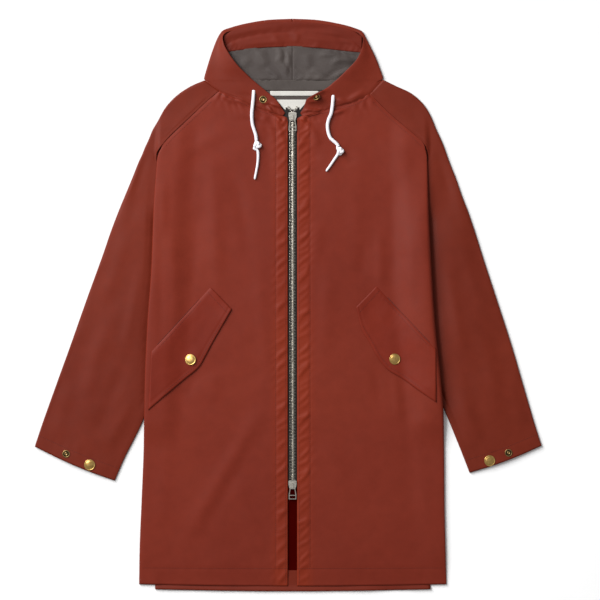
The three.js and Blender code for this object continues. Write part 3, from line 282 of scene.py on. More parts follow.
def sleeve_level(x, y):
    fold = by_side(fold_x, x, y)
    inside = 1 - smooth(fold - 3, fold + 8, np.abs(x))
    above = smooth(FOLD_START - 15, FOLD_START + 4, y)
    return mix(SLEEVE_TOP_LEVEL, front_level(x, y), inside * above)


def nape_line(x):
    return NAPE + NAPE_RISE * (x / NECK_SIDE) ** 2


# Meshes
def object_from(name, vertices, faces, material, smooth_shading=True):
    mesh = bpy.data.meshes.new(name)
    mesh.from_pydata([tuple(v) for v in vertices], [], [tuple(int(i) for i in f) for f in faces])
    mesh.materials.append(material)
    mesh.polygons.foreach_set("use_smooth", [smooth_shading] * len(mesh.polygons))
    mesh.update()
    piece = bpy.data.objects.new(name, mesh)
    bpy.context.scene.collection.objects.link(piece)
    return piece


def grid_normals(grid):
    padded = np.pad(grid, ((1, 1), (1, 1), (0, 0)), mode="edge")
    along = padded[2:, 1:-1] - padded[:-2, 1:-1]
    across = padded[1:-1, 2:] - padded[1:-1, :-2]
    normal = np.cross(across, along)
    return normal / np.maximum(np.linalg.norm(normal, axis=2, keepdims=True), 1e-9)


def shell(name, grid, material, wall=WALL):
    """A closed wall of cloth around a grid of middle points."""
    rows, columns = grid.shape[:2]
    normal = grid_normals(grid)
    upper = grid + normal * wall / 2
    lower = grid - normal * wall / 2
    vertices = np.concatenate([upper.reshape(-1, 3), lower.reshape(-1, 3)])
    at = np.arange(rows * columns).reshape(rows, columns)
    low = at + rows * columns
    quads = [
        np.stack([at[:-1, :-1], at[:-1, 1:], at[1:, 1:], at[1:, :-1]], axis=-1).reshape(-1, 4),
        np.stack([low[:-1, :-1], low[1:, :-1], low[1:, 1:], low[:-1, 1:]], axis=-1).reshape(-1, 4),
    ]
    rim = np.concatenate([at[0, :-1], at[:-1, -1], at[-1, :0:-1], at[:0:-1, 0]])
    after = np.roll(rim, -1)
    shift = rows * columns
    quads.append(np.stack([rim + shift, after + shift, after, rim], axis=-1))
    faces = np.concatenate(quads)
    placed = world(vertices)
    a, b, c = (placed[faces[:, k]] for k in (0, 1, 2))
    if np.einsum("ij,ij->", a, np.cross(b, c)) < 0:
        faces = faces[:, ::-1]
    return object_from(name, placed, faces, material)


def fold_arc(top, bottom, steps=8):
    """Reach from the fold's outside and height, round a fold that turns down and inwards."""
    radius = (top - bottom) / 2
    angles = np.pi / 2 - np.pi * np.arange(steps + 1) / steps
    return radius * (np.cos(angles) - 1), bottom + radius + radius * np.sin(angles)


def ring_faces(rings, count, first=0):
    """Faces between rings of points that are numbered from the first one on."""
    at = first + np.arange(rings * count).reshape(rings, count)
    after = np.roll(at, -1, axis=1)
    quads = np.stack([at[:-1], after[:-1], after[1:], at[1:]], axis=-1)
    return [tuple(quad) for quad in quads.reshape(-1, 4).tolist()]


def bar_faces(rings, count):
    """The same for a bar, with a face at each end."""
    last = count * (rings - 1)
    return [*ring_faces(rings, count), tuple(range(count))[::-1], tuple(range(last, last + count))]


# Creases
def creases(table, x, y):
    """Height of soft ridges and troughs. Each runs from one point to another, bent to one
    side by its bow, and dies out at its ends."""
    height = np.zeros(np.broadcast(x, y).shape)
    for x0, y0, x1, y1, width, rise, bow in table:
        run_x, run_y = x1 - x0, y1 - y0
        length = math.hypot(run_x, run_y)
        along = ((x - x0) * run_x + (y - y0) * run_y) / length**2
        off = ((x - x0) * -run_y + (y - y0) * run_x) / length
        off = off - bow * (1 - (2 * along - 1) ** 2)
        taper = np.exp(-(np.abs(2 * along - 1) / 1.05) ** 4)
        height = height + rise * taper * np.exp(-((off / width) ** 2))
    return height


def wander(x, y, size, seed):
    """Smooth uneven field between about -1 and 1, with lumps of about this size."""
    total = np.zeros(np.broadcast(x, y).shape)
    for k in range(6):
        angle = seed * 1.7 + k * 2.399
        pitch = 2 * np.pi / (size * (1.2 + 0.45 * ((seed * 3 + k * 5) % 7) / 7))
        total = total + np.sin(
            pitch * (x * math.cos(angle) + y * math.sin(angle)) + seed * 2.3 + k * 1.9)
    return total / 3.2


def ripple(along, spacing, seed):
    """An uneven wave along a line, and how strong it is at each place."""
    drift = 2.2 * np.sin(along / (spacing * 2.3) + seed) + 1.3 * np.sin(
        along / (spacing * 1.17) + 2.7 * seed)
    wave = np.sin(2 * np.pi * along / spacing + drift)
    wave = np.where(wave > 0, wave, 0.65 * wave)
    swell = np.sin(along / (spacing * 1.9) + 1.7 * seed) + 0.6 * np.sin(
        along / (spacing * 4.3) + seed)
    return wave, 0.2 + 0.8 * smooth(-0.9, 1.1, swell)


def puckers(off, along, spacing, reach, rise, slant, seed):
    """Uneven ripples beside a line of stitches, on the side where off is positive."""
    wave, strength = ripple(along - slant * off, spacing, seed)
    reach_here = reach * (0.85 + 0.4 * np.sin(along / (spacing * 1.3) + seed))
    fade = np.exp(-((np.maximum(off, 0) / reach_here) ** 2)) * smooth(-1.5, 1.0, off)
    return rise * wave * strength * fade


def groove(off, width=1.6, depth=0.35):
    """The small trough in which a row of stitches or a seam sits."""
    return -depth * np.exp(-((off / width) ** 2))


# Materials
def srgb(red, green, blue):
    """A colour given as it looks on a screen, 0 to 255, as linear light."""
    values = []
    for value in (red, green, blue):
        share = value / 255
        values.append(share / 12.92 if share < 0.04045 else ((share + 0.055) / 1.055) ** 2.4)
    return (*values, 1.0)


SOCKETS = {
    "base": "Base Color", "rough": "Roughness", "metal": "Metallic", "sheen": "Sheen Weight",
    "sheen_rough": "Sheen Roughness", "specular": "Specular IOR Level",
}


class Nodes:
    """The node tree of one material."""

    def __init__(self, name):
        self.material = bpy.data.materials.new(name)
        self.material.use_nodes = True
        self.tree = self.material.node_tree
        self.tree.nodes.clear()
        output = self.tree.nodes.new("ShaderNodeOutputMaterial")
        self.shader = self.tree.nodes.new("ShaderNodeBsdfPrincipled")
        self.tree.links.new(self.shader.outputs[0], output.inputs["Surface"])
        self.place = self.tree.nodes.new("ShaderNodeTexCoord").outputs["Object"]

    def put(self, target, value):
        if hasattr(value, "is_output"):
            self.tree.links.new(value, target)
        else:
            target.default_value = value

    def set(self, **sockets):
        for key, value in sockets.items():
            self.put(self.shader.inputs[SOCKETS[key]], value)

    def noise(self, scale, detail=4.0, rough=0.55):
        node = self.tree.nodes.new("ShaderNodeTexNoise")
        self.put(node.inputs["Vector"], self.place)
        node.inputs["Scale"].default_value = scale
        node.inputs["Detail"].default_value = detail
        node.inputs["Roughness"].default_value = rough
        return node.outputs["Fac"]

    def wave(self, scale, direction="X", distortion=0.0):
        node = self.tree.nodes.new("ShaderNodeTexWave")
        node.bands_direction = direction
        self.put(node.inputs["Vector"], self.place)
        node.inputs["Scale"].default_value = scale
        node.inputs["Distortion"].default_value = distortion
        return node.outputs["Fac"]

    def weave(self, threads, distortion):
        return self.math("MULTIPLY", *(self.wave(threads, way, distortion) for way in "XY"))

    def ramp(self, value, *stops):
        node = self.tree.nodes.new("ShaderNodeValToRGB")
        self.put(node.inputs["Fac"], value)
        elements = node.color_ramp.elements
        while len(elements) < len(stops):
            elements.new(0.5)
        for element, (place, colour) in zip(elements, stops):
            element.position = place
            element.color = colour if hasattr(colour, "__len__") else (colour,) * 3 + (1,)
        return node.outputs["Color"]

    def range(self, value, low, high, start=0.0, end=1.0):
        node = self.tree.nodes.new("ShaderNodeMapRange")
        node.inputs["From Min"].default_value = start
        node.inputs["From Max"].default_value = end
        self.put(node.inputs["Value"], value)
        node.inputs["To Min"].default_value = low
        node.inputs["To Max"].default_value = high
        return node.outputs["Result"]

    def math(self, kind, a, b):
        node = self.tree.nodes.new("ShaderNodeMath")
        node.operation = kind
        self.put(node.inputs[0], a)
        self.put(node.inputs[1], b)
        return node.outputs[0]

    def times(self, a, b):
        node = self.tree.nodes.new("ShaderNodeMix")
        node.data_type = "RGBA"
        node.blend_type = "MULTIPLY"
        node.inputs["Factor"].default_value = 1
        self.put(node.inputs[6], a)
        self.put(node.inputs[7], b)
        return node.outputs[2]

    def axes(self):
        node = self.tree.nodes.new("ShaderNodeSeparateXYZ")
        self.put(node.inputs[0], self.place)
        return node.outputs

    def from_zip(self):
        """How far a place is from the zip, in metres."""
        off = self.math("SUBTRACT", self.axes()["X"], float(ORIGIN[0]))
        return self.math("ABSOLUTE", off, 0.0)

    def bump(self, height, strength, distance, below=None):
        node = self.tree.nodes.new("ShaderNodeBump")
        node.inputs["Strength"].default_value = strength
        node.inputs["Distance"].default_value = distance
        self.put(node.inputs["Height"], height)
        if below is not None:
            self.put(node.inputs["Normal"], below)
        self.put(self.shader.inputs["Normal"], node.outputs[0])
        return node.outputs[0]


# The fronts' cloth is warmer beside the zip and fades to its own colour between two distances
WARM = (1.15, 1.06, 0.78, 1)
WARM_TO, PLAIN_FROM = 0.024, 0.042


def waxed_cloth(name, dark, middle, light, rough=0.5, seed=0.0, shine=0.13, warm_middle=False):
    """Close plain weave under dry wax, mottled a little where it was handled."""
    n = Nodes(name)
    broad = n.noise(3.4 + seed, 2)
    fine = n.noise(55 + seed, 5, 0.6)
    weave = n.weave(420, 0.6)
    colour = n.ramp(broad, (0.28, srgb(*dark)), (0.52, srgb(*middle)), (0.78, srgb(*light)))
    colour = n.times(colour, n.ramp(fine, (0.3, 0.94), (0.7, 1.04)))
    colour = n.times(colour, n.ramp(weave, (0.0, 0.93), (1.0, 1.04)))
    if warm_middle:
        warmth = n.ramp(n.from_zip(), (0.0, WARM), (WARM_TO, WARM), (PLAIN_FROM, 1.0))
        colour = n.times(colour, warmth)
    n.set(base=colour, rough=n.range(fine, rough - 0.06, rough + 0.08), specular=shine)
    below = n.bump(fine, 0.22, 0.0006)
    n.bump(weave, 0.35, 0.00012, below)
    return n.material


def plain_cloth(name, dark, light, rough, threads_per_m, sheen=0.1):
    n = Nodes(name)
    broad = n.noise(14, 4)
    weave = n.weave(threads_per_m, 0.4)
    colour = n.ramp(broad, (0.3, srgb(*dark)), (0.7, srgb(*light)))
    colour = n.times(colour, n.ramp(weave, (0.0, 0.86), (1.0, 1.05)))
    n.set(base=colour, rough=n.range(broad, rough - 0.06, rough + 0.08), sheen=sheen,
          sheen_rough=0.4, specular=0.25)
    n.bump(weave, 0.5, 0.0002)
    return n.material


def metal(name, dark, light, rough, scale=260.0):
    n = Nodes(name)
    wear = n.noise(scale, 3, 0.5)
    n.set(base=n.ramp(wear, (0.25, srgb(*dark)), (0.75, srgb(*light))), metal=1.0,
          rough=n.range(wear, rough - 0.05, rough + 0.08))
    n.bump(wear, 0.05, 0.0001)
    return n.material


red = waxed_cloth("red_waxed_cotton", (101, 32, 17), (106, 35, 19), (112, 38, 21))
# The fronts' copy of the waxed cotton is lighter than the sleeves' copy. This is painted light: it
# stands for the stronger light on the fronts than on the sleeves, which slope away from the lamp.
red_front_painted_light = waxed_cloth("red_waxed_cotton_front_painted_light", (110, 36, 22), (115, 39, 24), (121, 43, 26),
                        warm_middle=True)
red_hood = waxed_cloth("red_waxed_cotton_hood", (106, 34, 19), (111, 37, 21), (118, 41, 23),
                       seed=2.1)
red_flap = waxed_cloth("red_waxed_cotton_flap", (107, 32, 18), (113, 35, 20), (120, 39, 22),
                       seed=1.3)
red_facing = waxed_cloth("red_cotton_facing", (97, 29, 16), (104, 33, 18), (112, 37, 20), 0.56, 0.7)
# A near-black, deep red with no shine. This is painted shade for the back's inside, which is seen
# in the dark vent below the zip.
red_inside_painted_shade = waxed_cloth("red_cotton_inside_painted_shade", (48, 1, 1), (56, 2, 1), (66, 4, 3), 0.9, 0.9, 0.0)
thread = plain_cloth("dark_red_thread", (74, 18, 8), (98, 28, 15), 0.7, 900)
lining = plain_cloth("grey_twill_lining", (61, 52, 49), (73, 64, 60), 0.45, 700, 0.05)
band_cloth = plain_cloth("grey_band", (68, 60, 56), (80, 72, 68), 0.6, 600, 0.05)
tape_white = plain_cloth("white_woven_tape", (200, 198, 191), (218, 216, 209), 0.8, 800)
tape_black = plain_cloth("black_zip_tape", (26, 23, 22), (38, 34, 32), 0.8, 800, 0.2)
cord_white = plain_cloth("white_cotton_cord", (236, 232, 240), (250, 248, 252), 0.85, 900, 0.25)
nickel = metal("worn_nickel", (160, 153, 140), (232, 227, 216), 0.26)
slider_nickel = metal("worn_slider_nickel", (176, 169, 156), (246, 242, 232), 0.3, 700)
brass = metal("antique_brass", (176, 140, 76), (216, 180, 112), 0.34)
dark_brass = metal("dark_brass", (120, 98, 62), (158, 132, 86), 0.36)
patina = metal("brass_patina", (34, 26, 16), (58, 46, 30), 0.6)


def stands_for(piece, node):
    """The piece rides on the coat in place of its solid."""
    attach(piece, "root")
    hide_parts(node)


def add_cloth(node, grid, material, wall=WALL):
    """The cloth of one solid, with the size that it was cut to."""
    piece = shell(f"{node}_cloth", grid, material, wall)
    stands_for(piece, node)
    return piece


# Fronts: where the placket is stitched, and the folds in the cloth. All tables of creases
# hold where each starts, x and y, where it ends, x and y, its width, its rise and its bow.
PLACKET_STITCH = {"right": 30.2, "left": 31.5}
HEM_STITCH = 29.5
FRONT_CREASES = {
    "right": [
        (-143, 754, -136, 533, 15, 1.7, 0), (-172, 664, -179, 538, 11, -0.9, 0),
        (-109, 742, -80, 598, 13, -1.1, 4), (-235, 727, -233, 641, 8, 1.2, 0),
        (-238, 601, -237, 439, 6, -0.8, 0), (-217, 619, -206, 457, 11, 0.9, 0),
        (-96, 836, -42, 823, 6, -1.1, 3), (-47, 818, -40, 742, 10, -1.1, -3),
        (-67, 295, -181, 97, 15, 1.8, 0), (-76, 250, -152, 115, 12, -0.9, 0),
        (-145, 376, -141, 331, 14, 1.1, 0), (-175, 376, -188, 340, 10, -0.9, 0),
        (-200, 760, -120, 812, 14, 0.9, 6), (-60, 560, -48, 380, 12, 0.8, 0),
        (-225, 260, -236, 120, 14, 0.8, 0), (-100, 180, -60, 60, 14, 0.7, 0),
    ],
    "left": [
        (95, 785, 105, 755, 15, -1.3, 0), (20, 778, 48, 768, 7, -0.9, 0),
        (46, 646, 40, 583, 12, 1.1, 0), (129, 612, 125, 560, 11, -1.0, 0),
        (157, 625, 159, 538, 9, 1.3, 0), (175, 800, 184, 723, 18, 1.1, 4),
        (211, 620, 214, 520, 10, 0.8, 0), (85, 222, 148, 133, 13, -0.9, 0),
        (60, 250, 128, 150, 12, 0.7, 0), (184, 374, 190, 302, 8, 1.2, 0),
        (150, 380, 156, 330, 9, -0.9, 0), (222, 350, 226, 300, 9, -0.8, 0),
        (205, 760, 120, 815, 14, 0.9, -6), (64, 560, 54, 390, 12, 0.7, 0),
        (228, 250, 238, 110, 14, 0.7, 0), (110, 700, 118, 610, 14, 0.7, 0),
    ],
}
# The rise of the cloth at the side folds, the drop of the hem's middle, and how deep the
# fronts may dip above the yoke's foot, where the lining lies close under them
SIDE_PUFF = {"right": 2.2, "left": 10.5}
HEM_LOWERED = 1.45
YOKE_FOOT = 838
YOKE_DIP = -0.55

# Wrinkles round the neck seam, on the hood's strips and on the fronts alike
NECK_CREASES = [
    (-49.3, 861, -39, 842.5, 2.6, -1.6, -2), (-43, 859, -30, 845, 3, 2.0, -2),
    (-66, 861, -55, 844, 3.5, -1.4, 0), (-60, 862, -44, 866, 2.6, 1.6, 0),
    (-38, 863, -20, 858, 3, 2.0, 1), (-62, 864, -38, 861, 2.2, -1.3, 0),
    (-91, 880, -76, 877, 2.8, -1.2, 1), (-104, 872, -80, 858, 5, 1.9, 3),
    (-84, 864, -76, 848, 4, -1.3, 0), (-34, 848, -16, 838, 3, -1.4, -1),
    (-28, 842, -14, 826, 3.4, 1.7, -2), (-54, 842, -34, 818, 5, 1.6, -3),
    (-74, 858, -68, 836, 4, 1.5, 2), (-48, 836, -28, 806, 6, -1.4, -3),
    (25, 861, 51, 857.5, 3.2, -1.5, -2), (22, 852, 50, 850, 3.4, 2.0, 2),
    (56, 855, 100, 862, 2.8, -1.4, -2), (20, 842, 44, 846, 2.8, 1.6, 1),
    (30, 868, 52, 869, 3, 1.8, 0), (57, 888, 55.5, 879, 1.6, -1.5, 0),
    (82, 872, 96, 866, 3.5, 1.8, 0), (48, 848, 66, 842, 3.5, -1.3, 0),
    (14, 838, 30, 826, 3.2, 1.7, 2), (70, 846, 92, 852, 4, 1.7, 0),
    (24, 832, 50, 838, 4, -1.3, 2), (30, 822, 44, 790, 7, 1.3, 3),
    (104, 872, 126, 884, 5, 1.5, 0), (-108, 868, -126, 880, 5, 1.5, 0),
]


def neck_wrinkles(x, y, strength):
    """Their troughs stop short of the cloth underneath."""
    return np.maximum(strength * creases(NECK_CREASES, x, y), -0.5)


def placket_wrinkles(side):
    """Short slanting wrinkles between the zip and its stitching, uneven in size."""
    sign = SIDES[side]
    seed = 1.3 if side == "right" else 4.1
    rows = []
    y = 8.0
    k = 0
    while y < 815:
        swing = math.sin(2.4 * k + seed) + 0.7 * math.sin(5.3 * k + 2 * seed)
        wide = PLACKET_STITCH[side] - 11 - 5 * max(0, math.sin(3.1 * k + seed))
        start = 10.5 + 3 * max(0, math.sin(4.3 * k + 3 * seed))
        slant = 0.75 + 0.3 * math.sin(1.9 * k + seed)
        across = sorted((sign * start, sign * (start + wide)))
        rise = 0.85 + 0.42 * swing
        if y < 420:
            rise += 0.25
        rows.append((across[0], y, across[1], y + slant * wide, 2.3 + 0.7 * abs(swing), rise,
                     1.5 * math.sin(7.1 * k)))
        low = 1 - float(smooth(380, 640, y))
        y += mix(9.0, 14.5, low) * (1 + 0.38 * math.sin(2.9 * k + 1.7 * seed))
        k += 1
    return rows


PLACKET_WRINKLES = {side: placket_wrinkles(side) for side in SIDES}


def front_relief(side, x, y):
    """How far the front's cloth stands off its plain level."""
    sign = SIDES[side]
    seed = 1.0 if side == "right" else 4.0
    out = np.abs(x)
    stitch = PLACKET_STITCH[side]
    on_placket = smooth(FRONT_EDGE - 1, FRONT_EDGE + 3, out) * (1 - smooth(stitch - 3, stitch, out))
    seam_x = np.interp(y, column(RAGLAN_SEAM, 0), column(RAGLAN_SEAM, SIDE_COLUMN[side]))
    off_raglan = (seam_x - out) * 0.72
    on_raglan = smooth(FOLD_START - 12, FOLD_START + 8, y)
    neck_y = np.interp(out, column(NECK_SEAM[side], 0), column(NECK_SEAM[side], 1))
    off_neck = (neck_y - y) * 0.9
    relief = (
        creases(PLACKET_WRINKLES[side], x, y) * on_placket
        + puckers(out - stitch, y, 16, 9, 0.3, sign, seed)
        + groove(out - stitch, 1.4, 0.3)
        + groove(y - HEM_STITCH, 1.4, 0.3)
        + puckers(y - HEM_STITCH, x, 22, 8, 0.16, 0.3, seed + 2)
        + puckers(HEM_STITCH - y, x, 22, 12, 0.18, -0.3, seed + 3)
        + creases(FRONT_CREASES[side], x, y)
        + neck_wrinkles(x, y, 1.6)
        + 0.45 * wander(x, y, 110, seed)
        + 0.16 * wander(x, y, 38, seed + 2)
        + on_raglan * groove(off_raglan, 3.0, 0.5)
        + on_raglan * puckers(off_raglan, y, 15, 8, 0.14, 0.4, seed)
        + groove(off_neck, 3.2, 0.5)
        + puckers(off_neck, x, 10, 17, 1.3, 0.5 * sign, seed)
        + puckers(off_neck, x, 17, 30, 0.9, -0.4 * sign, seed + 1)
    )
    relief = np.where(y > YOKE_FOOT, np.maximum(relief, YOKE_DIP), relief)
    return relief * mix(0.25, 1, smooth(0, 26, fold_x(side, y) - out))


FRONT_TOP = {"right": 887.0, "left": 881.6}
UNDER_SHARES = np.arange(1, 6) / 5


def front_grid(side):
    """Rows from the zip over the top, round the side fold and back underneath. Above the
    fold's start they end flat at the raglan seam instead."""
    sign = SIDES[side]
    heights = np.concatenate([np.arange(0, 812, 3.2), np.linspace(812, FRONT_TOP[side], 34)])
    stations = np.concatenate([np.arange(0, 26, 2.1), np.linspace(27, 232, 42)]) / 232
    neck_x, neck_y = column(NECK_SEAM[side], 0), column(NECK_SEAM[side], 1)
    rows = []
    for y in heights:
        inner = FRONT_EDGE
        if y > ZIP_TOP:
            inner = float(np.interp(y + 0.2, neck_y, neck_x)) + 0.3
        outer = float(fold_x(side, y))
        seam = float(raglan_x(side, y)) + 0.15
        seam_edge = max(seam - 5, inner + 1)
        flat = float(smooth(FOLD_START - 14, FOLD_START + 11, y))
        puff = SIDE_PUFF[side] * (1 - flat) * float(smooth(0, 60, y) * (1 - smooth(590, 790, y)))
        puff *= mix(0.3, 1, float(smooth(WEDGE - 60, WEDGE + 60, y)))
        level_top = float(front_level(sign * outer, y)) + puff
        reach, z = fold_arc(level_top, float(back_level(sign * outer, y)), 9)
        reach = outer + reach
        edge = mix(reach[0], seam_edge, flat)
        x_top = mix(inner, edge, stations)
        z_top = front_level(sign * x_top, y) + puff * (1 - flat) * smooth(edge - 62, edge, x_top)
        z_top = z_top + front_relief(side, sign * x_top, y)
        x_low = mix(reach[-1], outer - float(wrap_width(y)), UNDER_SHARES)
        turned_x = np.concatenate([reach, x_low])
        turned_z = np.concatenate([z, back_level(sign * x_low, y)])
        share = np.arange(len(turned_x)) / (len(turned_x) - 1)
        flat_x = mix(seam_edge, max(seam, inner + 1.4), share)
        turned_x = mix(turned_x, flat_x, flat)
        turned_z = mix(turned_z, front_level(sign * flat_x, y), flat)
        turned_z = turned_z + flat * front_relief(side, sign * turned_x, y)
        x_row = np.concatenate([x_top[:-1], turned_x])
        z_row = np.concatenate([z_top[:-1], turned_z])
        droop = HEM_SAG * (1 - (x_row / outer) ** 2) * float(1 - smooth(0, 45, y))
        inside = 1 - smooth(outer - 45, outer - 25, x_row)
        z_row = z_row - HEM_LOWERED * inside * float(1 - smooth(2, 40, y))
        rows.append(np.stack([sign * x_row, y - droop, z_row], axis=1))
    return np.array(rows)


front_grids = {side: front_grid(side) for side in SIDES}
TOP_COLUMNS = 55
for side in SIDES:
    add_cloth(f"front_{side}", front_grids[side], red_front_painted_light)


def on_front(x, y):
    """Height of the middle of a front's wall, from the rows that it is made of."""
    side = "right" if x < 0 else "left"
    grid = front_grids[side]
    i = int(np.clip(np.searchsorted(grid[:, 0, 1], y) - 1, 0, len(grid) - 2))
    share = (y - grid[i, 0, 1]) / (grid[i + 1, 0, 1] - grid[i, 0, 1])
    row = mix(grid[i, :TOP_COLUMNS], grid[i + 1, :TOP_COLUMNS], np.clip(share, 0, 1))
    return float(np.interp(abs(x), np.abs(row[:, 0]), row[:, 2]))


# Sleeves
CUFF_STITCH = 22.5
SLEEVE_PUFF = 1.8
# How deep the sleeve dips beside the body's side fold, and how far it takes to rise again
SLEEVE_DIP = {"right": (1.5, 5), "left": (3.6, 46)}
SLEEVE_CREASES = {
    "right": [
        (-300, 640, -345, 500, 14, 1.3, 4), (-275, 560, -300, 430, 10, 1.0, 0),
        (-330, 470, -372, 330, 14, 1.2, -5), (-300, 400, -352, 270, 12, -0.9, 0),
        (-290, 330, -330, 250, 10, 1.0, 0), (-400, 360, -425, 270, 12, 0.9, 0),
        (-285, 735, -312, 640, 12, 0.8, 0), (-262, 770, -285, 700, 8, -0.7, 0),
    ],
    "left": [
        (300, 640, 342, 500, 14, 1.3, -4), (278, 560, 304, 430, 10, 1.0, 0),
        (328, 470, 366, 330, 14, 1.2, 5), (304, 400, 350, 270, 12, -0.9, 0),
        (296, 340, 334, 262, 10, 1.0, 0), (392, 360, 412, 280, 12, 0.9, 0),
        (286, 735, 312, 640, 12, 0.8, 0), (262, 770, 285, 700, 8, -0.7, 0),
    ],
}


def fine_rows(places, size):
    """Row numbers between the rows of a table, about this many millimetres apart."""
    steps = np.hypot(*np.diff(places, axis=0).T)
    rows = [np.arange(0.0)]
    for k, step in enumerate(steps):
        count = max(1, math.ceil(step / size))
        rows.append(k + np.arange(count) / count)
    rows.append(np.array([len(steps)]))
    return np.concatenate(rows)


def sleeve_relief(side, x, y, to_cuff, beyond):
    seed = 2.0 if side == "right" else 5.0
    off_stitch = to_cuff - CUFF_STITCH
    return beyond * (
        creases(SLEEVE_CREASES[side], x, y)
        + 0.5 * wander(x, y, 105, seed)
        + 0.18 * wander(x, y, 36, seed + 1)
        + groove(off_stitch, 1.4, 0.3)
        + puckers(np.abs(off_stitch), x, 15, 10, 0.2, 0.3, seed)
    )


INNER_TURN = 5.0


def sleeve_grid(side):
    """Rows from the underarm seam round the inner fold, over the top, round the outer fold
    and back underneath. Above the armpit they start flat at the raglan seam instead."""
    sign = SIDES[side]
    table = SLEEVE_ROWS[side]
    values = [column(table, k) for k in range(6)]
    values[4] = np.where(values[5] > 0, values[1], values[4])
    index = np.arange(len(table))
    middle = np.stack([(values[0] + values[2]) / 2, (values[1] + values[3]) / 2], axis=1)
    rows = []
    for t in fine_rows(middle, 3.6):
        in_x, in_y, out_x, out_y, end_y, closed = (float(through(index, v, t)) for v in values)
        length = math.hypot(out_x - in_x, out_y - in_y)
        to_cuff = math.hypot(*(middle[-1] - [(in_x + out_x) / 2, (in_y + out_y) / 2]))
        bow = CUFF_BOW * float(1 - smooth(0, 45, to_cuff))

        def on_row(reach):
            share = reach / length
            lift = bow * np.sin(np.pi * np.clip(share, 0, 1))
            return mix(in_x, out_x, share), mix(in_y, out_y, share) - lift

        outer_top = float(sleeve_level(sign * out_x, out_y)) + 0.8
        arc_reach, arc_z = fold_arc(outer_top, TABLE_LEVEL, 9)
        arc_reach = arc_reach + length
        under_reach, under_z = fold_arc(SLEEVE_TOP_LEVEL, TABLE_LEVEL, 5)
        place = np.concatenate([[INNER_TURN], -under_reach[::-1]])
        place_z = np.concatenate([[TABLE_LEVEL], under_z[::-1]])
        flat = INNER_TURN * np.arange(len(place)) / len(place)
        x, y = on_row(mix(flat, place, closed))
        z = mix(sleeve_level(sign * x, y), place_z, closed)
        start = max(0.0, length - 4) if length < 30 else arc_reach[0] - 2
        upper = mix(INNER_TURN, start, np.arange(1, 37) / 36)
        upper_x, upper_y = on_row(upper)
        fold = fold_x(side, upper_y)
        low = 1 - smooth(FOLD_START - 10, FOLD_START + 20, upper_y)
        beyond = mix(1, smooth(fold + 1, fold + 16, upper_x), low)
        lift = SLEEVE_PUFF * np.sin(np.pi * upper / length) * beyond * closed
        lift = lift + 0.8 * smooth(length - 30, length, upper)
        depth, width = SLEEVE_DIP[side]
        dip = depth * (1 - smooth(fold + 1, fold + width, upper_x)) * low * closed
        upper_z = sleeve_level(sign * upper_x, upper_y) + lift - dip
        upper_z = upper_z + sleeve_relief(side, sign * upper_x, upper_y, to_cuff, beyond)
        off = upper * 0.95
        on_seam = smooth(FOLD_START - 12, FOLD_START + 8, upper_y)
        upper_z = upper_z + on_seam * (groove(off, 3.0, 0.5)
                                       + puckers(off, upper_y, 15, 8, 0.14, -0.4, 3))
        arc_x, arc_y = on_row(arc_reach)
        seam_x, seam_y = on_row(np.array(INNER_TURN + SEAM_GAP))
        raglan = float(np.interp(end_y, column(BACK_RAGLAN, 0), column(BACK_RAGLAN, 1))) + 0.3
        end = (mix(raglan, float(seam_x), closed), mix(end_y, float(seam_y), closed))
        share = np.arange(1, 13) / 12
        low_x = mix(arc_x[-1], end[0], share)
        low_y = mix(arc_y[-1], end[1], share)
        row_x = np.concatenate([x, upper_x, arc_x, low_x])
        row_y = np.concatenate([y, upper_y, arc_y, low_y])
        row_z = np.concatenate([z, upper_z, arc_z, np.full(12, TABLE_LEVEL)])
        rows.append(np.stack([sign * row_x, row_y, row_z], axis=1))
    return np.array(rows)


for side in SIDES:
    add_cloth(f"sleeve_{side}", sleeve_grid(side), red)


# Hood, outside. Its lower edge laps over the fronts along the neck seam, its rim stands up
# over the opening, and the left strip's edge is curled where the neck snap sits.
SEAM_LAP = 1.6
SEAM_LAP_RISE = 0.9
CURL = 4.2
RIM_STAND = {"right": 4.5, "left": 1.0}


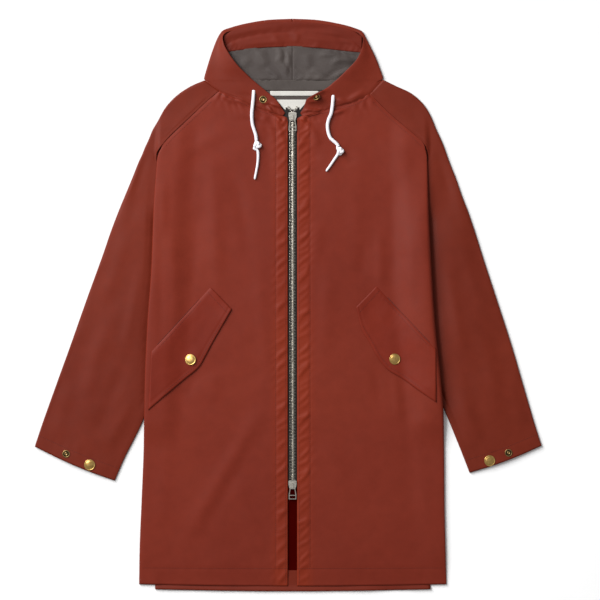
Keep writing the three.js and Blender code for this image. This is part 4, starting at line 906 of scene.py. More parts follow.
def hood_grid(side):
    """Rows from the rim to the outer fold and on underneath to the nape. The strips below
    the opening end flat on the fronts, along the neck seam, instead."""
    sign = SIDES[side]
    table = HOOD_ROWS[side]
    values = [column(table, k) for k in range(7)]
    values[4] = np.where(values[6] > 0, values[4], values[4][7])
    index = np.arange(len(table))
    rims = np.stack(values[:2], axis=1)
    seed = 3.0 if side == "right" else 6.0
    rows = []
    for t in fine_rows(rims, 2.6):
        rim_x, rim_y, out_x, out_y, nape_x, rim_z, fold = (
            float(through(index, v, t)) for v in values)
        length = math.hypot(rim_x - out_x, rim_y - out_y)
        seam_z = float(front_level(sign * out_x, out_y)) + SEAM_LAP_RISE
        settled = float(smooth(900, 962, out_y))
        fold_top = mix(seam_z, min(HOOD_FOLD_TOP, rim_z), settled)
        arc_reach, arc_z = fold_arc(fold_top, TABLE_LEVEL, 9)
        arc_reach = arc_reach + length
        edge = mix(length * 0.9, max(arc_reach[0], 0.5), fold)
        edge_z = fold_top if fold > 0 else seam_z
        share = np.arange(24) / 24
        from_rim = edge * share
        side_x = mix(rim_x, out_x, from_rim / length)
        side_y = mix(rim_y, out_y, from_rim / length)
        at_x = sign * side_x
        stand = RIM_STAND[side] * float(smooth(905, 945, rim_y) * (1 - smooth(978, 996, rim_y)))
        body = np.sin(np.pi * share)
        lumps = 0.5 * wander(at_x, side_y, 60, seed) + 0.2 * wander(at_x, side_y, 24, seed)
        near_seam = float(1 - smooth(895, 915, out_y))
        side_z = (
            mix(rim_z, edge_z, smooth(0, 1, share))
            + stand * (1 - smooth(0, 0.8, share))
            + min(1.5, length / 40) * body * settled
            + smooth(8, 40, length) * body * lumps
            + near_seam * puckers(length - from_rim, at_x, 10, 11, 0.8, 0.5 * sign, seed)
            + neck_wrinkles(at_x, side_y, 1.5)
        )
        if side == "left":
            curled = float(smooth(866, 876, rim_y) * (1 - smooth(884, 893, rim_y)))
            side_z = side_z + curled * CURL * np.exp(-((from_rim / 6.5) ** 2))
        turned_x = mix(rim_x, out_x, arc_reach / length)
        turned_y = mix(rim_y, out_y, arc_reach / length)
        crown = np.arange(1, 11) / 10
        end_y = nape_line(nape_x) + SEAM_GAP + 0.25
        turned_x = np.concatenate([turned_x, mix(turned_x[-1], nape_x, crown)])
        turned_y = np.concatenate([turned_y, mix(turned_y[-1], end_y, crown)])
        turned_z = np.concatenate([arc_z, np.full(10, TABLE_LEVEL)])
        share = np.arange(len(turned_x)) / (len(turned_x) - 1)
        flat_reach = mix(edge, length + SEAM_LAP, share)
        flat_x = mix(rim_x, out_x, flat_reach / length)
        flat_y = mix(rim_y, out_y, flat_reach / length)
        at_x = sign * flat_x
        flat_z = (
            mix(edge_z, seam_z, share)
            - 1.35 * share**2
            + neck_wrinkles(at_x, flat_y, 1.5)
            + near_seam * puckers(length - flat_reach + 2, at_x, 10, 11, 0.8, 0.5 * sign, seed)
        )
        full = float(smooth(0.35, 1, fold))
        row_x = np.concatenate([side_x, mix(flat_x, turned_x, full)])
        row_y = np.concatenate([side_y, mix(flat_y, turned_y, full)])
        row_z = np.concatenate([side_z, mix(flat_z, turned_z, full)])
        rows.append(np.stack([sign * row_x, row_y, row_z], axis=1))
    return np.array(rows)


for side in SIDES:
    add_cloth(f"hood_{side}", hood_grid(side), red_hood)


# Hood, inside: the red facing, the grey lining in two halves and the neck pieces
def across(left, right, foot, head, columns, rows, level):
    """A flat piece inside the coat between two curves across it."""
    x = np.linspace(left, right, columns)
    low = foot(x) if callable(foot) else np.full(columns, float(foot))
    high = head(x) if callable(head) else np.full(columns, float(head))
    y = mix(low, high, np.linspace(0, 1, rows)[:, None])
    x = np.broadcast_to(x, y.shape)
    return np.stack([x, y, level(x, y)], axis=2)


def facing_seam(x):
    return through(column(FACING_COLUMNS, 0), column(FACING_COLUMNS, 2), x)


def facing_top(x):
    return through(column(FACING_COLUMNS, 0), column(FACING_COLUMNS, 1), x)


TUNNEL_TOP = 18.0
LINING_FOOT = 906.8
BAND_FOOT = 887.6
FACING_CREASES = [
    (-112, 985, -30, 1000, 5, 0.7, 3), (0, 992, 84, 988, 4, 0.9, 2),
    (20, 984, 104, 975, 4, 0.8, -2), (-90, 972, -20, 976, 5, 0.6, 0),
    (10, 1003, 70, 1000, 4, -0.5, 0), (60, 978, 118, 966, 5, -0.6, 2),
    (-104, 968, -118, 978, 4, 0.6, 0), (-22, 998, -2, 984, 7, -0.6, 0),
    (-20, 968, -34, 984, 6, 0.7, 0), (48, 972, 34, 958, 6, 0.8, 0),
    (6, 975, 10, 990, 5, 0.6, 0), (82, 984, 100, 962, 7, -0.6, 0),
]
LINING_CREASES = [
    (-26, 964, -26, 942, 6, 1.9, 4), (-26, 942, -10, 918, 6, 1.7, 3),
    (-10, 956, -8, 930, 4, 1.5, 2), (-17, 962, -17, 938, 3, -0.8, 4),
    (-17, 938, -4, 920, 3, -0.8, 3), (-60, 958, -48, 934, 9, 1.6, 0),
    (-64, 964, -42, 957, 3.5, -0.9, 2), (-78, 946, -92, 930, 8, 1.2, 0),
    (-60, 930, -34, 912, 4, -0.9, 0), (-46, 924, -24, 912, 5, 1.3, 0),
    (72, 938, 106, 943, 6, 2.1, 3), (114, 940, 85, 925, 4, -0.9, 3),
    (85, 925, 64, 912, 4, -0.9, -2), (78, 914, 104, 928, 5, 1.9, 0),
    (51, 962, 92, 956, 3, -0.8, 3), (50, 952, 84, 947, 5, 1.4, 3),
    (118, 949, 94, 952, 3, -0.7, 0), (24, 952, 30, 930, 9, 1.5, 0),
    (5, 934, 24, 918, 4, -0.8, 0), (36, 926, 58, 914, 5, 1.3, 0),
    (-60, 912, -22, 910, 3.5, 0.8, 0), (14, 912, 60, 910, 3.5, 0.8, 0),
]


def facing_level(x, y):
    down = facing_top(x) - y
    off_stitch = down - TUNNEL_TOP
    return (
        INSIDE_LEVEL
        + 1.55 * (1 - smooth(2, 16, down))
        + 0.9 * smooth(16, 24, down) * (1 - smooth(32, 42, down))
        + groove(off_stitch, 1.6, 0.5)
        + puckers(np.abs(off_stitch), x, 19, 7, 0.22, 0.7, 2)
        + 1.3 * creases(FACING_CREASES, x, y)
        + puckers(y - facing_seam(x), x, 9, 8, 0.25, 0.5, 5)
        + 0.25 * wander(x, y, 42, 3)
    )


def lining_level(x, y):
    return (
        INSIDE_LEVEL
        + np.maximum(creases(LINING_CREASES, x, y), -0.6)
        + 0.5 * wander(x, y, 45, 4)
        + puckers(facing_seam(x) - y, x, 17, 9, 0.35, 0.4, 3)
        + puckers(y - LINING_FOOT, x, 16, 8, 0.35, 0.4, 7)
        + puckers(np.abs(x), y, 12, 7, 0.3, 0.5, 1)
        + groove(np.abs(x), 1.6, 0.4)
    )


def band_level(x, y):
    return uneven(INSIDE_LEVEL, 0.3, 30, 5)(x, y) + puckers(LINING_FOOT - y, x, 12, 7, 0.3, 0.4, 2)


def uneven(level, rise, size, seed):
    """The heights of a flat piece that is a little wavy."""
    return lambda x, y: level + rise * wander(x, y, size, seed)


def label_foot(x):
    return 853.6 + 1.2 * np.maximum(0, np.abs(x) - 14)


facing = across(-124, 125, lambda x: facing_seam(x) - 0.8, lambda x: facing_top(x) + 1.4, 150, 22,
                facing_level)
add_cloth("hood_facing", facing, red_facing,
          LINING_WALL)
for side, sign in SIDES.items():
    ends = sorted((-0.2 * sign, 126 * sign))
    half = across(*ends, LINING_FOOT - 0.6, lambda x: facing_seam(x) + 0.3, 64, 32, lining_level)
    add_cloth(f"hood_lining_{side}", half, lining,
              LINING_WALL)
band = across(-92, 92, BAND_FOOT + 0.15, LINING_FOOT + 0.5, 90, 10, band_level)
add_cloth("neck_band", band, band_cloth, LINING_WALL)
yoke = across(-62, 62, 843, BAND_FOOT - 0.15, 60, 22, uneven(INSIDE_LEVEL, 0.15, 30, 6))
add_cloth("yoke_lining", yoke, band_cloth, LINING_WALL)
hanger = across(-40, 47, 878.2, 887, 40, 5, uneven(TRIM_LEVEL, 0.2, 25, 7))
add_cloth("hanger_tape", hanger, tape_white,
          LINING_WALL)
label = across(-28, 25, label_foot, 871.5, 40, 12, uneven(TRIM_LEVEL, 0.2, 30, 8))
add_cloth("neck_label", label, tape_white,
          LINING_WALL)


# Back panel
BACK_HEM_RISE = 1.9
HEM_TURNING = 26
BACK_CREASES = [
    (-120, 760, -150, 560, 14, 0.7, 6), (110, 740, 140, 560, 14, 0.7, -5),
    (-40, 640, -20, 420, 12, 0.6, 4), (60, 520, 90, 300, 14, 0.7, 0),
    (-130, 420, -90, 200, 14, 0.7, 5), (150, 300, 130, 120, 14, 0.6, 0),
    (0, 300, -30, 120, 12, 0.6, 0), (-180, 250, -190, 90, 12, 0.6, 0),
]


def back_grid():
    heights = np.concatenate([np.arange(-BACK_HEM_DROP, 24, 3.0), np.arange(25, 560, 9.0),
                              np.arange(560, 660, 4.0), np.arange(662, 890, 8.0), [NAPE]])
    share = np.linspace(0, 1, 101)
    rows = []
    for y in heights:
        if y > ARMPIT:
            seam_y = nape_line(110) if y == NAPE else y
            edge = [float(np.interp(seam_y, *zip(*BACK_RAGLAN))) - SEAM_GAP] * 2
        else:
            edge = [float(fold_x(s, max(0, y))) - float(wrap_width(y)) - SEAM_GAP for s in SIDES]
        x = mix(-edge[0], edge[1], share)
        hem = HEM_SAG * (1 - (x / 250) ** 2) * float(1 - smooth(-BACK_HEM_DROP, 30, y))
        nape = (nape_line(x) - NAPE) * float(smooth(860, NAPE, y))
        z = back_panel_level(x, max(0, y))
        rise = 0.5 * np.maximum(0, wander(x, y, 120, 9))
        rise = rise + np.maximum(0, creases(BACK_CREASES, x, y))
        at_hem = float(1 - smooth(-BACK_HEM_DROP, 2, y))
        z = z + rise * smooth(0, 40, y + BACK_HEM_DROP) * (z < 2)
        z = z + BACK_HEM_RISE * at_hem * (1 + 0.5 * wander(x, y, 70, 5))
        rows.append(np.stack([x, y - hem + nape, z], axis=1))
    return np.array(rows)


back = add_cloth("back", back_grid(), red)
# The back's upward faces above the hem's turning take the painted-shade red, for the dark inside
# seen through the vent.
back.data.materials.append(red_inside_painted_shade)
for polygon in back.data.polygons:
    above_hem = polygon.center.y > world([0, HEM_TURNING, 0])[1]
    polygon.material_index = 1 if polygon.normal.z > 0.3 and above_hem else 0


# Pocket flaps
FLAP_LIFT = 1.32
FLAP_EDGE_RISE = 0.75
FLAP_END_RISE = 0.7
FLAP_SEWN_DROP = 1.95
FLAP_WIDTH = 72
FLAP_LENGTH = 170


def flap_grid(side):
    sign = SIDES[side]
    table = [column(FLAP_ROWS[side], k) for k in range(4)]
    index = np.arange(len(table[0]))
    rows = []
    for t in fine_rows(np.stack(table[:2], axis=1), 2.4):
        sewn_x, sewn_y, free_x, free_y = (float(through(index, values, t)) for values in table)
        row = []
        for share in np.linspace(0, 1, 30):
            y = mix(sewn_y, free_y, share)
            x = min(float(fold_x(side, y)) - 3, mix(sewn_x, free_x, share))
            row.append((sign * x, y, on_front(sign * x, y) + FLAP_LIFT))
        rows.append(row)
    grid = np.array(rows)
    t = np.linspace(0, 1, grid.shape[0])[:, None]
    s = np.linspace(0, 1, grid.shape[1])[None, :]
    x, y = grid[..., 0], grid[..., 1]
    seed = 4 if sign < 0 else 7
    loose = smooth(0, 0.3, s) * smooth(0, 0.1, t)
    from_sewn = s * FLAP_WIDTH
    grid[..., 2] += (
        np.maximum(0, 0.5 * wander(x, y, 60, seed) + 0.2 * wander(x, y, 22, seed)) * loose
        + FLAP_EDGE_RISE * smooth(0.55, 1, s) * (1 - smooth(0.8, 1, t))
        + FLAP_END_RISE * (1 - smooth(0, 0.14, t)) * smooth(0.05, 0.4, s)
        - FLAP_SEWN_DROP * (1 - smooth(0, 0.06, s))
        + groove(FLAP_WIDTH - from_sewn - 7.5, 1.6, 0.4)
        + groove(from_sewn - 5, 1.6, 0.35)
        + puckers(from_sewn - 5, t * FLAP_LENGTH, 9, 6, 0.22, 0.5, seed)
    )
    return grid


for side in SIDES:
    add_cloth(f"pocket_flap_{side}", flap_grid(side), red_flap)


# What lies on top
class Tops:
    """Finds the highest point of the cloth pieces under a place."""

    def __init__(self, names):
        self.trees = []
        for name in names:
            mesh = bpy.data.objects[name].data
            corners = [v.co.copy() for v in mesh.vertices]
            self.trees.append(BVHTree.FromPolygons(corners, [p.vertices[:] for p in mesh.polygons]))

    def at(self, x, y):
        start = Vector(world([x, y, 100]))
        heights = []
        for tree in self.trees:
            hit, normal, index, distance = tree.ray_cast(start, Vector((0, 0, -1)))
            if hit is not None:
                heights.append(hit.z / MM)
        return max(heights) if heights else 0.0

    def under(self, x, y, radius):
        """Highest point under a round piece."""
        ring = [(0, 0)] + [(radius * math.cos(a), radius * math.sin(a))
                           for a in np.arange(8) * math.pi / 4]
        return max(self.at(x + dx, y + dy) for dx, dy in ring)


cloth_tops = Tops([f"{name}_{side}_cloth" for side in SIDES
                   for name in ("front", "sleeve", "hood", "pocket_flap")])


def along_route(points, step):
    """Points at even steps along a smooth curve through the given ones."""
    points = np.asarray(points, float)
    ends = np.vstack([2 * points[0] - points[1], points, 2 * points[-1] - points[-2]])
    dense = []
    for k in range(1, len(ends) - 2):
        p0, p1, p2, p3 = ends[k - 1:k + 3]
        for t in np.arange(0, 1, 0.04):
            dense.append(0.5 * (2 * p1 + (p2 - p0) * t + (2 * p0 - 5 * p1 + 4 * p2 - p3) * t * t
                                + (3 * p1 - p0 - 3 * p2 + p3) * t**3))
    dense.append(points[-1])
    dense = np.array(dense)
    run = np.concatenate([[0], np.cumsum(np.linalg.norm(np.diff(dense, axis=0), axis=1))])
    count = max(2, round(run[-1] / step) + 1)
    at = np.linspace(0, run[-1], count)
    return np.stack([np.interp(at, run, dense[:, k]) for k in range(dense.shape[1])], axis=1)


def tube(name, path, radii, material, sides=18, braid=0.0, pitch=3.4):
    """A round cord along a path. A braid gives it the crossed plaits of woven cord."""
    path = np.asarray(path, float)
    tangent = np.gradient(path, axis=0)
    tangent /= np.linalg.norm(tangent, axis=1, keepdims=True)
    up = np.cross(tangent[0], [0.3, 0.2, 1.0])
    up /= np.linalg.norm(up)
    run = np.concatenate([[0], np.cumsum(np.linalg.norm(np.diff(path, axis=0), axis=1))])
    angles = 2 * np.pi * np.arange(sides) / sides
    rings = []
    for k in range(len(path)):
        up = up - tangent[k] * np.dot(up, tangent[k])
        up /= np.linalg.norm(up)
        side = np.cross(tangent[k], up)
        phase = np.pi * run[k] / pitch
        plait = np.abs(np.sin(3 * angles + phase)) * np.abs(np.sin(3 * angles - phase))
        reach = radii[k] * (1 - braid + 2 * braid * plait)
        rings.append(path[k] + reach[:, None] * (np.cos(angles)[:, None] * up
                                                 + np.sin(angles)[:, None] * side))
    vertices = np.concatenate([*rings, path[:1], path[-1:]])
    foot, head = len(path) * sides, len(path) * sides + 1
    faces = ring_faces(len(path), sides)
    for j in range(sides):
        n = (j + 1) % sides
        faces += [(foot, n, j), (head, foot - sides + j, foot - sides + n)]
    return object_from(name, world(vertices), faces, material)


# Drawcords: the same routes as the solids, settled on the cloth
CORD_RADIUS = 3.0
TAIL_RADIUS = 2.2
KNOT_LENGTH = 16.0
CORD_LEAD = 3.0
SETTLE_STEP = 1.6
CORDS = {
    "right": {
        "upper": [(-69.7, 887.5), (-70, 880), (-70.6, 872), (-71.8, 860), (-72.8, 850),
                  (-73, 838), (-71.6, 826), (-68.4, 815.5), (-65.8, 807)],
        "knot": (-63.6, 789), "into": (0.13, -0.99), "out": (0.13, -0.99), "turn": 0.55,
        "tail": [(-61.8, 770), (-62.6, 757), (-65, 743), (-68, 728)],
    },
    "left": {
        "upper": [(73.1, 878.5), (72.6, 870), (71.4, 858), (69.4, 846), (65.5, 837), (63, 826),
                  (64, 814), (67.8, 803), (72.6, 798), (77.3, 794)],
        "knot": (85.5, 779.4), "into": (0.39, -0.92), "out": (-0.55, -0.835), "turn": -1.1,
        "tail": [(74.7, 763.2), (67.5, 752.4), (60.3, 742.5)],
    },
}


def settle(points, radius):
    """Heights of a cord's middle where it rests on the cloth, evened out along it."""
    flat = along_route(points, SETTLE_STEP)
    z = np.array([cloth_tops.under(x, y, radius * 0.7) for x, y in flat]) + radius
    for _ in range(6):
        even = np.convolve(np.pad(z, 2, mode="edge"), np.ones(5) / 5, "valid")
        z = np.maximum(even, z - 0.25)
    return np.column_stack([flat, z])


def eased(path):
    """A finer path through every second point, with both ends kept."""
    kept = path[::2] if len(path) % 2 else np.vstack([path[:-1:2], path[-1:]])
    return along_route(kept, 0.9)


def drawcord(side):
    data = CORDS[side]
    x, y = data["knot"]
    face = KNOT_LENGTH / 2 + SEAM_GAP
    lead = face + CORD_LEAD

    def at(direction, reach):
        return (x + reach * direction[0], y + reach * direction[1])

    into, out = data["into"], data["out"]
    upper = settle([*data["upper"], at(into, -lead), at(into, -face)], CORD_RADIUS)
    run = np.arange(len(upper)) * SETTLE_STEP
    buried = upper[0, 2] - CORD_RADIUS - 1.5
    upper[:, 2] = mix(buried, upper[:, 2], smooth(0, 9, run))
    upper = eased(upper)
    tail = eased(settle([at(out, face), at(out, lead), *data["tail"]], TAIL_RADIUS))
    main = tube(f"drawcord_{side}_cord", upper, np.full(len(upper), CORD_RADIUS), cord_white,
                braid=0.05)
    thin = TAIL_RADIUS * mix(1.12, 0.9, np.linspace(0, 1, len(tail)))
    thin[-3:] *= (0.9, 0.7, 0.35)
    end = tube(f"drawcord_{side}_tail_cord", tail, thin, cord_white, braid=0.05)
    knot = overhand(side, upper[-1], tail[0])
    for piece, node in ((main, f"drawcord_{side}"), (end, f"drawcord_{side}_tail"),
                        (knot, f"cord_knot_{side}")):
        stands_for(piece, node)


def overhand(side, top, bottom):
    """An overhand knot pulled tight between the end of the cord and the start of its tail."""
    x, y = CORDS[side]["knot"]
    turn = CORDS[side]["turn"]
    t = np.linspace(-0.93 * math.pi, 0.93 * math.pi, 66)
    loop = np.column_stack([
        2.25 * (np.cos(t) - 2 * np.cos(2 * t)) + 1.8 * t / math.pi,
        -1.55 * (np.sin(t) + 2 * np.sin(2 * t)), 1.9 * np.sin(3 * t)])
    spin = np.array([[math.cos(turn), -math.sin(turn), 0], [math.sin(turn), math.cos(turn), 0],
                     [0, 0, 1]])
    loop = loop @ spin.T
    loop[:, 0] += x
    loop[:, 1] += y
    loop[:, 2] += (top[2] + bottom[2]) / 2 + 1.4
    if loop[0, 1] < loop[-1, 1]:
        loop = loop[::-1]
    path = np.vstack([[top], loop[::4], [bottom]])
    fine = along_route(path, 0.8)
    radii = np.full(len(fine), CORD_RADIUS * 0.86)
    radii[-8:] = np.linspace(CORD_RADIUS * 0.86, TAIL_RADIUS * 1.1, 8)
    return tube(f"cord_knot_{side}_tied", fine, radii, cord_white, braid=0.05)


for side in SIDES:
    drawcord(side)


# Zip: tapes with splayed tops, teeth, and worn metal on the carried-over sliders and pulls
TAPE_ROWS = [
    (ZIP_FOOT - 20, 10.5, 18, INSIDE_LEVEL), (ZIP_FOOT, 9.0, 18, INSIDE_LEVEL),
    (ZIP_FOOT + 7, 1.0, 18, INSIDE_LEVEL), (400, 1.0, 18, INSIDE_LEVEL),
    (600, 1.0, 18, INSIDE_LEVEL), (826, 1.0, 18, INSIDE_LEVEL), (836, 1.6, 18, 2.5),
    (842, 3.0, 18, 3.3), (848, 4.8, 21, 4.0), (853, 7.2, 24, 4.7), (857.5, 10.0, 26, 5.0),
]


def zip_tape(side):
    sign = SIDES[side]
    y = np.concatenate([np.linspace(ZIP_FOOT - 20, ZIP_FOOT + 8, 8),
                        np.linspace(ZIP_FOOT + 12, 826, 56), np.linspace(829, 857.5, 12)])
    places = column(TAPE_ROWS, 0)
    inner, outer, level = (through(places, column(TAPE_ROWS, k), y) for k in (1, 2, 3))
    share = np.linspace(0, 1, 9)
    x = mix(inner[:, None], outer[:, None], share[None, :])
    bead = 0.35 * np.exp(-(((x - 6.6) / 0.8) ** 2))
    under = np.minimum(level[:, None], mix(level[:, None], INSIDE_LEVEL + 0.6, smooth(9, 15, x)))
    z = np.where(y[:, None] > 836, under, level[:, None]) + bead
    grid = np.stack([sign * x, np.broadcast_to(y[:, None], x.shape), z], axis=2)
    add_cloth(f"zip_tape_{side}", grid, tape_black, 0.8)


for side in SIDES:
    zip_tape(side)

# Teeth. Stations are the share of the way across, and the shares of length and height.
TOOTH_PITCH = 2.7
TOOTH_LONG = 1.7
TOOTH_HALF_HIGH = 1.15
TOOTH_STATIONS = [(0.0, 0.5, 0.6), (0.08, 0.62, 0.72), (0.46, 0.62, 0.74), (0.56, 1.0, 0.95),
                  (0.78, 1.12, 1.12), (0.94, 0.9, 1.05), (1.0, 0.45, 0.6)]
TOOTH_SECTION = [(-1, -0.9), (1, -0.9), (1, 0.35), (0.55, 1), (-0.55, 1), (-1, 0.35)]
CHAIN_FOOT = ZIP_FOOT + 17.2
CHAIN_HEAD = 832.4
CHAIN_LEVEL = 3.9
CHAIN_MIDDLE = 0.7
TOOTH_ROOT = 5.4
TOOTH_REACH = 2.0


def tooth(x_from, x_to, y, z, turn=0.0):
    """One zip tooth: a small bar with sloping sides and a rounded head."""
    corners = []
    for share, wide, high in TOOTH_STATIONS:
        x = (x_to - x_from) * share
        corners += [(x, a * TOOTH_LONG / 2 * wide, b * TOOTH_HALF_HIGH * high)
                    for a, b in TOOTH_SECTION]
    out, along, up = np.array(corners).T
    cos, sin = math.cos(turn), math.sin(turn)
    placed = [x_from + out * cos - along * sin, y + out * sin + along * cos, z + up]
    return np.column_stack(placed), bar_faces(len(TOOTH_STATIONS), len(TOOTH_SECTION))


def joined(name, parts, material, smooth_shading=True):
    vertices, faces, base = [], [], 0
    for points, polygons in parts:
        vertices.append(points)
        faces += [tuple(base + i for i in polygon) for polygon in polygons]
        base += len(points)
    return object_from(name, world(np.concatenate(vertices)), faces, material, smooth_shading)


def zip_teeth():
    parts = []
    for k, y in enumerate(np.arange(CHAIN_FOOT, CHAIN_HEAD, TOOTH_PITCH / 2)):
        sign = -1 if k % 2 else 1
        parts.append(tooth(sign * TOOTH_ROOT, CHAIN_MIDDLE - sign * TOOTH_REACH, y, CHAIN_LEVEL))
    stands_for(joined("zip_teeth", parts, nickel, False), "zip_chain")
    for side, sign in SIDES.items():
        parts = []
        for share in np.arange(4) / 3:
            x = sign * mix(5.0, 9.6, share)
            parts.append(tooth(x, x - sign * 4.6, mix(848.6, 856.4, share), mix(5.2, 6.3, share),
                               -sign * mix(0.15, 0.75, share)))
        ends = joined(f"zip_end_{side}_teeth", parts, nickel, False)
        stands_for(ends, f"zip_stop_{side}")


zip_teeth()


def finish_node(name, material, bevel):
    node = frame["nodes"][name]
    node.data.materials.clear()
    node.data.materials.append(material)
    rounding = node.modifiers.new("rounded_edges", "BEVEL")
    rounding.width = bevel * MM
    rounding.segments = 2
    rounding.limit_method = "ANGLE"


for end in ("bottom", "top"):
    finish_node(f"zip_slider_{end}", slider_nickel, 0.45)
    finish_node(f"zip_pull_{end}", slider_nickel, 0.4)


# Snaps
CAP_PROFILE = [(0, 0), (9.2, 0), (9.85, 0.35), (10, 0.9), (9.8, 1.45), (9.25, 1.75), (8.7, 1.72),
               (8.35, 1.5), (8.0, 1.5), (7.2, 1.85), (5.4, 2.3), (3.0, 2.6), (0, 2.7)]
STUD_PROFILE = [(0, 0), (6.3, 0), (6.75, 0.3), (6.8, 0.7), (6.5, 1.05), (5.9, 1.15), (5.2, 0.95),
                (4.4, 0.6), (3.6, 0.5), (3.1, 0.7), (2.9, 1.5), (3.1, 2.0), (2.8, 2.35), (1.9, 2.4),
                (1.3, 2.0), (0.7, 1.8), (0, 1.8)]
# The bands of the stud's profile that are dark with age
HOLLOW = range(5, 9)


def turned(node, profile, place, material, tilt=(0.0, 0.0), steps=48):
    """A round metal piece from its profile, tilted about the coat's x and y."""
    vertices = [(0, 0, profile[0][1])]
    for radius, z in profile[1:-1]:
        vertices += [(radius * math.cos(a), radius * math.sin(a), z)
                     for a in 2 * math.pi * np.arange(steps) / steps]
    vertices.append((0, 0, profile[-1][1]))
    rings = len(profile) - 2
    last = 1 + (rings - 1) * steps
    faces = ring_faces(rings, steps, 1)
    for k in range(steps):
        n = (k + 1) % steps
        faces += [(0, 1 + n, 1 + k), (last + k, last + n, len(vertices) - 1)]
    turn = Matrix.Rotation(tilt[1], 3, "Y") @ Matrix.Rotation(tilt[0], 3, "X")
    points = np.array([tuple(turn @ Vector(v)) for v in vertices]) + place
    piece = object_from(f"{node}_turned", world(points), faces, material)
    if profile is STUD_PROFILE:
        piece.data.materials.append(patina)
        for polygon in piece.data.polygons[HOLLOW.start * steps:HOLLOW.stop * steps]:
            polygon.material_index = 1
    stands_for(piece, node)


for node, x, y, profile, material, tilt in (
    ("flap_snap_right", -183.2, 404.1, CAP_PROFILE, brass, (-0.06, -0.1)),
    ("flap_snap_left", 183.8, 405.0, CAP_PROFILE, brass, (0.05, 0.05)),
    ("cuff_cap_right", -364.5, 214.9, CAP_PROFILE, brass, (0.04, 0.03)),
    ("cuff_cap_left", 354.4, 222.3, CAP_PROFILE, brass, (0.03, 0.06)),
    ("cuff_stud_right", -406.8, 234.7, STUD_PROFILE, dark_brass, (0, 0)),
    ("cuff_stud_left", 388.4, 236.5, STUD_PROFILE, dark_brass, (0, 0)),
    ("neck_stud_right", -52.9, 871.5, STUD_PROFILE, dark_brass, (0, 0)),
):
    seat = cloth_tops.under(x, y, profile[3][0] * 0.8) + 0.05
    turned(node, profile, (x, y, seat), material, tilt)
NECK_CAP = (43.6, 874.8)
NECK_CAP_LIFT = 3.2
turned("neck_cap_left", STUD_PROFILE, (*NECK_CAP, cloth_tops.at(*NECK_CAP) + NECK_CAP_LIFT),
       dark_brass, (-0.7, -0.55))


# Stitches. The shape is the share of a stitch's length, and of the thread's radius there.
STITCH = 3.0
STITCH_PITCH = 4.1
STITCH_RADIUS = 0.3
STITCH_LIFT = 0.05
STITCH_SHAPE = [(-0.5, 0.35), (-0.3, 0.9), (0.3, 0.9), (0.5, 0.35)]
THREAD_SIDES = 6


def stitches(name, lines, pitch=STITCH_PITCH, radius=STITCH_RADIUS):
    """Rows of sewn thread. Each line is a list of places on the cloth."""
    parts = []
    ring = [(math.cos(a), math.sin(a)) for a in 2 * np.pi * np.arange(THREAD_SIDES) / THREAD_SIDES]
    faces = bar_faces(len(STITCH_SHAPE), THREAD_SIDES)
    for line in lines:
        spots = along_route(line, pitch)
        direction = np.gradient(spots, axis=0)
        direction /= np.linalg.norm(direction, axis=1, keepdims=True)
        for (x, y), (dx, dy) in zip(spots, direction):
            z_from = cloth_tops.at(x - dx * STITCH / 2, y - dy * STITCH / 2)
            z_to = cloth_tops.at(x + dx * STITCH / 2, y + dy * STITCH / 2)
            if z_from <= 0.1 or z_to <= 0.1 or abs(z_to - z_from) > 2:
                continue
            points = []
            for share, wide in STITCH_SHAPE:
                z = mix(z_from, z_to, share + 0.5) + STITCH_LIFT
                for a, b in ring:
                    points.append((x + dx * STITCH * share - dy * a * wide * radius,
                                   y + dy * STITCH * share + dx * a * wide * radius,
                                   z + b * wide * STITCH_RADIUS))
            parts.append((np.array(points), faces))
    piece = joined(name, parts, thread)
    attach(piece, "root")


def sew(name, sign, *lines, **how):
    """The same for lines that are given as distances from the zip."""
    stitches(name, [[(sign * x, y) for x, y in line] for line in lines], **how)


def front_lines(side):
    """Rows of stitches on a front: placket, zip edge, hem, neck seam and raglan seam."""
    hem = [(x, HEM_STITCH - HEM_SAG * 0.3 * (1 - (x / 275) ** 2)) for x in (10, 100, 200, 268)]
    return (
        [(PLACKET_STITCH[side], y) for y in (32, 250, 500, 700, 838)],
        [(12.5, y) for y in (4, 250, 500, 700, 834)],
        hem,
        [(x, y - 5.5) for x, y in NECK_SEAM[side][2:-1]],
        [(row[SIDE_COLUMN[side]] - 5, row[0] - 4) for row in RAGLAN_SEAM[1:-1]],
    )


def across_flap(side, share):
    """A line along a flap, at a share of the way from its sewn edge to its free edge."""
    return [(mix(a, c, share), mix(b, d, share)) for a, b, c, d in FLAP_ROWS[side][1:-1]]


def cuff_line(side):
    last, before = SLEEVE_ROWS[side][-1], SLEEVE_ROWS[side][-2]
    share = CUFF_STITCH / math.hypot(last[0] - before[0], last[1] - before[1])
    inner = (mix(last[0], before[0], share) + 4, mix(last[1], before[1], share) + 2)
    outer = (mix(last[2], before[2], share) - 4, mix(last[3], before[3], share) - 2)
    return [inner, ((inner[0] + outer[0]) / 2, (inner[1] + outer[1]) / 2 - 2.2), outer]


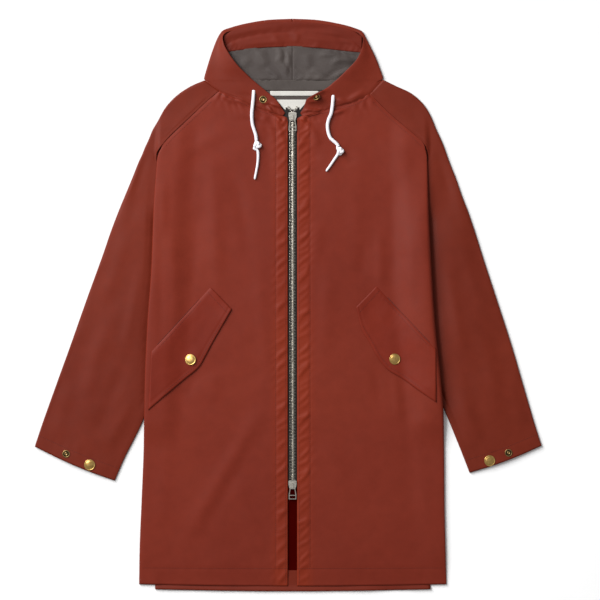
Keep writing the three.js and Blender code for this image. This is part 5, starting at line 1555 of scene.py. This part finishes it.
for side, sign in SIDES.items():
    sew(f"front_{side}_stitches", sign, *front_lines(side))
    first, second = np.array(FLAP_ROWS[side][:2])
    sewn_x, sewn_y, free_x, free_y = mix(first, second, 0.32)
    flap_end = [(mix(sewn_x, free_x, s), mix(sewn_y, free_y, s)) for s in (0.08, 0.5, 0.9)]
    sew(f"pocket_flap_{side}_stitches", sign, across_flap(side, 0.93), flap_end,
        across_flap(side, 0.08))
    # A row of thick dark thread just outside each flap's sewn edge. It is partly real stitching and
    # partly a painted shade line where the flap meets the front.
    sew(f"pocket_flap_{side}_seam", sign, across_flap(side, 0.004), pitch=2.8, radius=0.62)
    sew(f"cuff_{side}_stitches", sign, cuff_line(side))


# Floor and light
FLOOR_SIZE = 14
FLOOR_LEVEL = -0.0002

floor_nodes = Nodes("white_paper_floor")
places = floor_nodes.axes()
# The floor is painted darker towards the key light and lighter away from it. This painted shade
# evens out the light's falloff across the floor.
slant = floor_nodes.math("SUBTRACT", places["X"], places["Y"])
falloff_painted_shade = floor_nodes.range(slant, 0.67, 0.99, -1.05, 0.85)
fleck = floor_nodes.range(floor_nodes.noise(30, 2), 0.99, 1.01)
floor_nodes.set(base=floor_nodes.math("MULTIPLY", falloff_painted_shade, fleck), rough=0.9, specular=0.05)
centre = world([*IMAGE_CENTRE, 0])
corners = [(centre[0] + sx * FLOOR_SIZE / 2, centre[1] + sy * FLOOR_SIZE / 2, FLOOR_LEVEL)
           for sx, sy in ((-1, -1), (1, -1), (1, 1), (-1, 1))]
floor = object_from("floor", corners, [(0, 1, 2, 3)], floor_nodes.material, False)


def area_light(name, place, aim, size, power, colour=(1, 1, 1)):
    light = bpy.data.lights.new(name, "AREA")
    light.shape = "DISK"
    light.size = size
    light.energy = power
    light.color = colour
    lamp = bpy.data.objects.new(name, light)
    bpy.context.scene.collection.objects.link(lamp)
    lamp.location = place
    lamp.rotation_euler = (Vector(aim) - Vector(place)).to_track_quat("-Z", "Y").to_euler()


area_light("key", (-2.6, 2.3, 2.4), (0, 0.1, 0), 3.0, 226)
area_light("overhead", (-1.5, 0.9, 3.0), (0, 0, 0), 1.1, 42)
sky = bpy.data.worlds.new("studio")
bpy.context.scene.world = sky
sky.use_nodes = True
sky.node_tree.nodes["Background"].inputs["Color"].default_value = (1, 1, 1, 1)
sky.node_tree.nodes["Background"].inputs["Strength"].default_value = 0.35
bpy.context.scene.view_settings.view_transform = "Standard"
